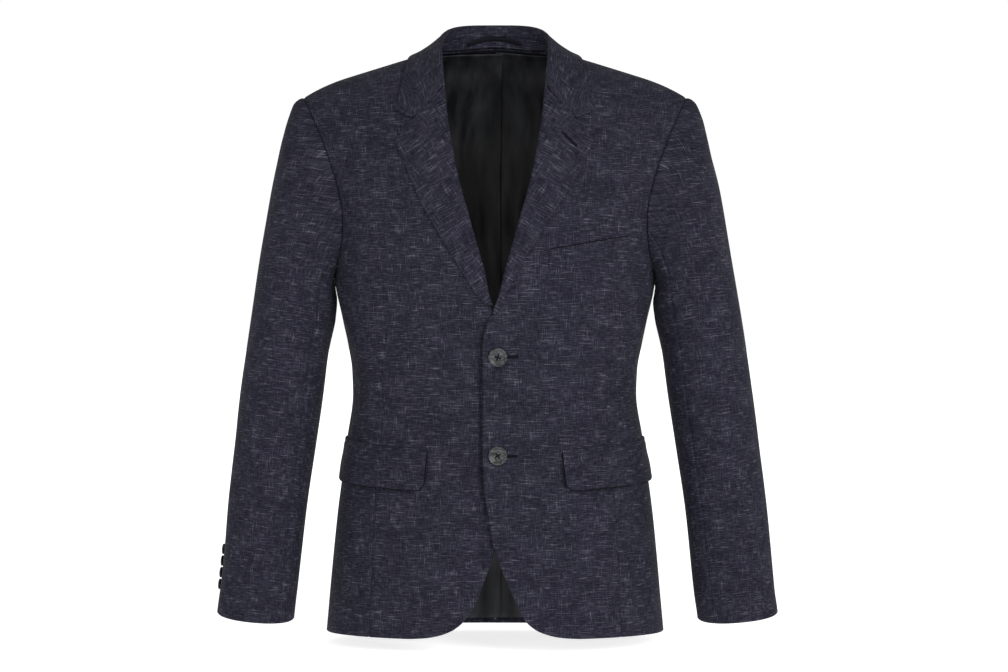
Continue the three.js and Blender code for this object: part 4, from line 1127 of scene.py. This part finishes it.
def build_buttons():
    for i, (place, z, hole_end) in enumerate((("upper", -354.0, 26.5), ("lower", -469.0, 25))):
        node = f"front_button_{place}"
        q, n = on_front(1, np.array([BUTTON_X]), np.array([z]), 0.75)
        button(node + "_horn", node, q[0], n[0], *FRONT_BUTTON, 0.5 + 0.9 * i)
        buttonhole(f"buttonhole_{i + 1}", "front_left", (hole_end, z), (4.0, z))
    for name, side in SIDES:
        for i in range(4):
            at = sleeve_ring_at(CUFF_BUTTONS["first"] + i * CUFF_BUTTONS["pitch"])
            q, n = sleeve_sample(side, np.array([at]), np.array([-CUFF_BUTTONS[name]]), 0.5)
            node = f"cuff_button_{name}_{i + 1}"
            button(node + "_horn", node, q[0], n[0], *CUFF_BUTTON, 0.3 + i * 0.7)
    buttonhole("lapel_buttonhole", "lapel_left", (79.5, -94.0), (94.5, -108.5), half=0.9, thread=0.7)


def node_maker(tree):
    def make(kind, inputs=None, **settings):
        node = tree.nodes.new(kind)
        for key, value in settings.items():
            setattr(node, key, value)
        for key, value in (inputs or {}).items():
            if isinstance(value, bpy.types.NodeSocket):
                tree.links.new(value, node.inputs[key])
            else:
                node.inputs[key].default_value = value
        return node

    return make


def new_material(name, values):
    """A material with values for its shader's own sockets."""
    material = bpy.data.materials.new(name)
    material.use_nodes = True
    tree = material.node_tree
    shader = tree.nodes["Principled BSDF"]
    for key, value in values.items():
        shader.inputs[key].default_value = value
    return material, tree, shader, node_maker(tree)


def colour_by(tree, shader, make, value, *stops):
    """The base colour read from a value: rising places from 0 to 1, each with its colour."""
    node = make("ShaderNodeValToRGB", {"Fac": value})
    elements = node.color_ramp.elements
    for element, (place, colour) in ((elements[0], stops[0]), (elements[1], stops[-1])):
        element.position, element.color = place, (*colour, 1)
    for place, colour in stops[1:-1]:
        elements.new(place).color = (*colour, 1)
    tree.links.new(node.outputs["Color"], shader.inputs["Base Color"])


def relief(tree, shader, make, strength, distance, height):
    bump = make("ShaderNodeBump", {"Strength": strength, "Distance": distance, "Height": height})
    tree.links.new(bump.outputs["Normal"], shader.inputs["Normal"])


def mottle(make, place, stretch, shift=(0, 0, 0), dimensions="2D", **inputs):
    """Noise over a place, stretched by a factor each way."""
    moved = make("ShaderNodeMapping", {"Vector": place, "Location": shift, "Scale": stretch})
    inputs.update(Vector=moved.outputs["Vector"], Scale=1.0)
    return make("ShaderNodeTexNoise", inputs, noise_dimensions=dimensions).outputs["Fac"]


def suit_cloth():
    """Plain weave of dark yarn, with lighter broken slubs along the weft and fewer along the warp."""
    values = {"Roughness": 0.86, "Specular IOR Level": 0.08, "Sheen Weight": 0.02, "Sheen Roughness": 0.5}
    material, tree, shader, make = new_material("suit_cloth", values)
    uv = make("ShaderNodeUVMap", uv_map="cloth").outputs["UV"]

    def stretched(across, up, detail, rough, offset=0.0):
        return mottle(make, uv, (across, up, 1), (offset, offset * 0.37, 0), Detail=detail, Roughness=rough)

    def ramp(value, low, high):
        limits = {"Value": value, "From Min": low, "From Max": high}
        return make("ShaderNodeMapRange", limits, interpolation_type="SMOOTHSTEP").outputs["Result"]

    def calc(kind, a, b, clamp=False):
        return make("ShaderNodeMath", {0: a, 1: b}, operation=kind, use_clamp=clamp).outputs["Value"]

    weft_slub = ramp(stretched(44, 800, 2.0, 0.55, 7.7), 0.5, 0.76)
    weft_slub = calc("MULTIPLY", weft_slub, ramp(stretched(42, 120, 1.0, 0.5, 1.9), 0.22, 0.56))
    warp_slub = ramp(stretched(760, 62, 2.0, 0.55, 11.3), 0.53, 0.77)
    warp_slub = calc("MULTIPLY", warp_slub, ramp(stretched(110, 40, 1.0, 0.5, 5.2), 0.36, 0.62))
    weft_yarn = ramp(stretched(110, 900, 2.0, 0.7), 0.3, 0.7)
    warp_yarn = ramp(stretched(900, 90, 2.0, 0.7, 3.1), 0.3, 0.7)
    cloudy = ramp(stretched(26, 40, 3.0, 0.6, 2.4), 0.3, 0.7)
    tone = calc("MULTIPLY", weft_yarn, 0.3)
    for part, share in ((warp_yarn, 0.2), (cloudy, 0.1), (weft_slub, 0.42), (warp_slub, 0.36)):
        tone = calc("ADD", tone, calc("MULTIPLY", part, share), clamp=part is warp_slub)
    dark, light = (0.0126, 0.0122, 0.0216), (0.0335, 0.0328, 0.0478)
    stops = ((0.0, (0.0045, 0.0043, 0.0089)), (0.3, dark), (0.6, light), (1.0, (0.1, 0.098, 0.122)))
    colour_by(tree, shader, make, tone, *stops)
    relief(tree, shader, make, 0.35, 0.0004, tone)
    return material


def lining_satin():
    values = {"Roughness": 0.4, "Specular IOR Level": 0.2}
    material, tree, shader, make = new_material("lining_satin", values)
    uv = make("ShaderNodeUVMap", uv_map="cloth").outputs["UV"]
    # Painted shade and highlight: tall soft patches from near black to lighter satin stand for the light and shade of
    # soft folds
    cloudy = mottle(make, uv, (40, 9, 1), Detail=3.0)
    colour_by(tree, shader, make, cloudy, (0.36, (0.0052, 0.0056, 0.0068)), (0.68, (0.034, 0.0352, 0.0395)))
    relief(tree, shader, make, 0.12, 0.0002, mottle(make, uv, (900, 60, 1), Detail=2.0))
    return material


def button_horn():
    values = {"Roughness": 0.3, "Specular IOR Level": 0.32}
    material, tree, shader, make = new_material("button_horn", values)
    place = make("ShaderNodeTexCoord").outputs["Object"]
    spots = mottle(make, place, (230, 230, 420), dimensions="3D", Detail=4.0, Distortion=0.8)
    colour_by(tree, shader, make, spots, (0.37, (0.0055, 0.0057, 0.0068)), (0.66, (0.07, 0.072, 0.078)))
    return material


def plain_thread(name, colour, rough):
    material, tree, shader, make = new_material(name, {"Roughness": rough, "Specular IOR Level": 0.1})
    place = make("ShaderNodeTexCoord").outputs["Object"]
    noise = make("ShaderNodeTexNoise", {"Vector": place, "Scale": 2600.0, "Detail": 2.0})
    dark, light = ([c * factor for c in colour] for factor in (0.6, 1.5))
    colour_by(tree, shader, make, noise.outputs["Fac"], (0.0, dark), (1.0, light))
    return material


MATERIALS.update(
    suit_cloth=suit_cloth(),
    lining_satin=lining_satin(),
    button_horn=button_horn(),
    thread_dark=plain_thread("thread_dark", (0.0048, 0.0048, 0.0075), 0.8),
    # painted shade: near black for the shadow in buttonhole slits, the breast pocket's mouth and along the flap rims
    slit_dark=plain_thread("slit_dark", (0.0022, 0.0022, 0.003), 0.9),
)

build_fronts()
build_sides()
build_backs()
build_linings()
build_lapels()
build_collar()
build_loop()
build_sleeves()
build_armhole_seams()
build_pockets()
build_buttons()

# What shows of each piece as it was cut: width and length in mm, area in square metres, how it is held, and by
# what. A star stands for left and for right
CUTS = [
    ("front_left", 205, 830, 0.1147, "hung", ["back_left"]),
    ("front_right", 205, 835, 0.1158, "hung", ["back_right"]),
    ("side_*", 236, 475, 0.0868, "hung", ["front_*", "back_*"]),
    ("back_*", 254, 765, 0.119, "hung", ["collar_stand"]),
    ("back_lining_left", 243, 745, 0.1085, "hung", ["back_left"]),
    ("back_lining_right", 250, 745, 0.1133, "hung", ["back_right"]),
    ("lapel_left", 95, 283, 0.0109, "folded", ["front_left"]),
    ("lapel_right", 95, 273, 0.0124, "folded", ["front_right"]),
    ("collar_fall", 98, 512, 0.0274, "folded", ["collar_stand"]),
    ("collar_stand", 14, 308, 0.0033, "stretched", ["back_left", "back_right"]),
    ("hanger_loop", 10, 69, 0.00038, "hung", ["collar_stand"]),
    ("top_sleeve_left", 385, 640, 0.1268, "hung", ["front_left", "back_left"]),
    ("top_sleeve_right", 385, 640, 0.125, "hung", ["front_right", "back_right"]),
    ("under_sleeve_left", 190, 490, 0.0532, "hung", ["top_sleeve_left"]),
    ("under_sleeve_right", 190, 490, 0.0525, "hung", ["top_sleeve_right"]),
    ("pocket_flap_*", 46, 189, 0.008, "hung", ["front_*"]),
    ("pocket_jet_*", 12, 168, 0.00124, "folded", ["front_*"]),
    ("breast_welt", 23, 109, 0.0024, "laid", ["front_left"]),
    ("armhole_seam_*", 10, 560, 0.0052, "folded", ["top_sleeve_*"]),
]
for starred, wide, long, area, held, rests in CUTS:
    for side_name in ("left", "right") if "*" in starred else ("",):
        name, rests_on = starred.replace("*", side_name), [other.replace("*", side_name) for other in rests]


def floor_material():
    values = {"Roughness": 0.9, "Specular IOR Level": 0.1, "Emission Color": (1, 1, 1, 1), "Emission Strength": 0.8}
    material, tree, shader, make = new_material("floor_pale", values)
    noise = make("ShaderNodeTexNoise", {"Scale": 3.0, "Detail": 2.0})
    colour_by(tree, shader, make, noise.outputs["Fac"], (0.0, (0.9, 0.9, 0.9)), (1.0, (0.93, 0.93, 0.93)))
    return material


FLOOR_Z, FLOOR_HALF = -0.7, 14.0
bpy.ops.mesh.primitive_plane_add(size=2 * FLOOR_HALF, location=(0, 0, FLOOR_Z))
floor = bpy.context.object
floor.name = "floor"
floor.data.materials.append(floor_material())

world = bpy.data.worlds.new("studio")
bpy.context.scene.world = world
world.use_nodes = True
backdrop = world.node_tree.nodes["Background"]
backdrop.inputs["Color"].default_value = (1, 1, 1, 1)
# What is seen behind is white, and the room's own light is dimmer
STUDIO_LIGHT, SEEN_WHITE = 0.42, 1.02
path = world.node_tree.nodes.new("ShaderNodeLightPath")
level = world.node_tree.nodes.new("ShaderNodeMapRange")
level.inputs["To Min"].default_value = STUDIO_LIGHT
level.inputs["To Max"].default_value = SEEN_WHITE
world.node_tree.links.new(path.outputs["Is Camera Ray"], level.inputs["Value"])
world.node_tree.links.new(level.outputs["Result"], backdrop.inputs["Strength"])

# Two soft lights from the front, the stronger on the wearer's left
# name, elevation, azimuth, strength and spread
LIGHTS = [("key", 22, 34, 1.7, 0.45), ("fill", 16, -24, 0.68, 1.1)]
for name, elevation, azimuth, strength, spread in LIGHTS:
    data = bpy.data.lights.new(name, "SUN")
    data.energy, data.angle = strength, spread
    light = link(bpy.data.objects.new(name, data))
    light.rotation_euler = ((90 - elevation) * DEG, 0, azimuth * DEG)

SENSOR, DISTANCE, FRAME_WIDTH = 36.0, 3.5, 1.2096
CAMERA_X, CAMERA_Z, LOOK_AT_Z = 0.0108, -0.26, -0.332
camera_data = bpy.data.cameras.new("camera")
camera_data.sensor_width = SENSOR
camera_data.lens = SENSOR * DISTANCE / FRAME_WIDTH
camera = link(bpy.data.objects.new("camera", camera_data))
camera.location = (CAMERA_X, -DISTANCE, CAMERA_Z)
camera.rotation_euler = (math.pi / 2 - math.atan2(CAMERA_Z - LOOK_AT_Z, DISTANCE), 0, 0)
bpy.context.scene.camera = camera
bpy.context.scene.view_settings.view_transform = "Standard"
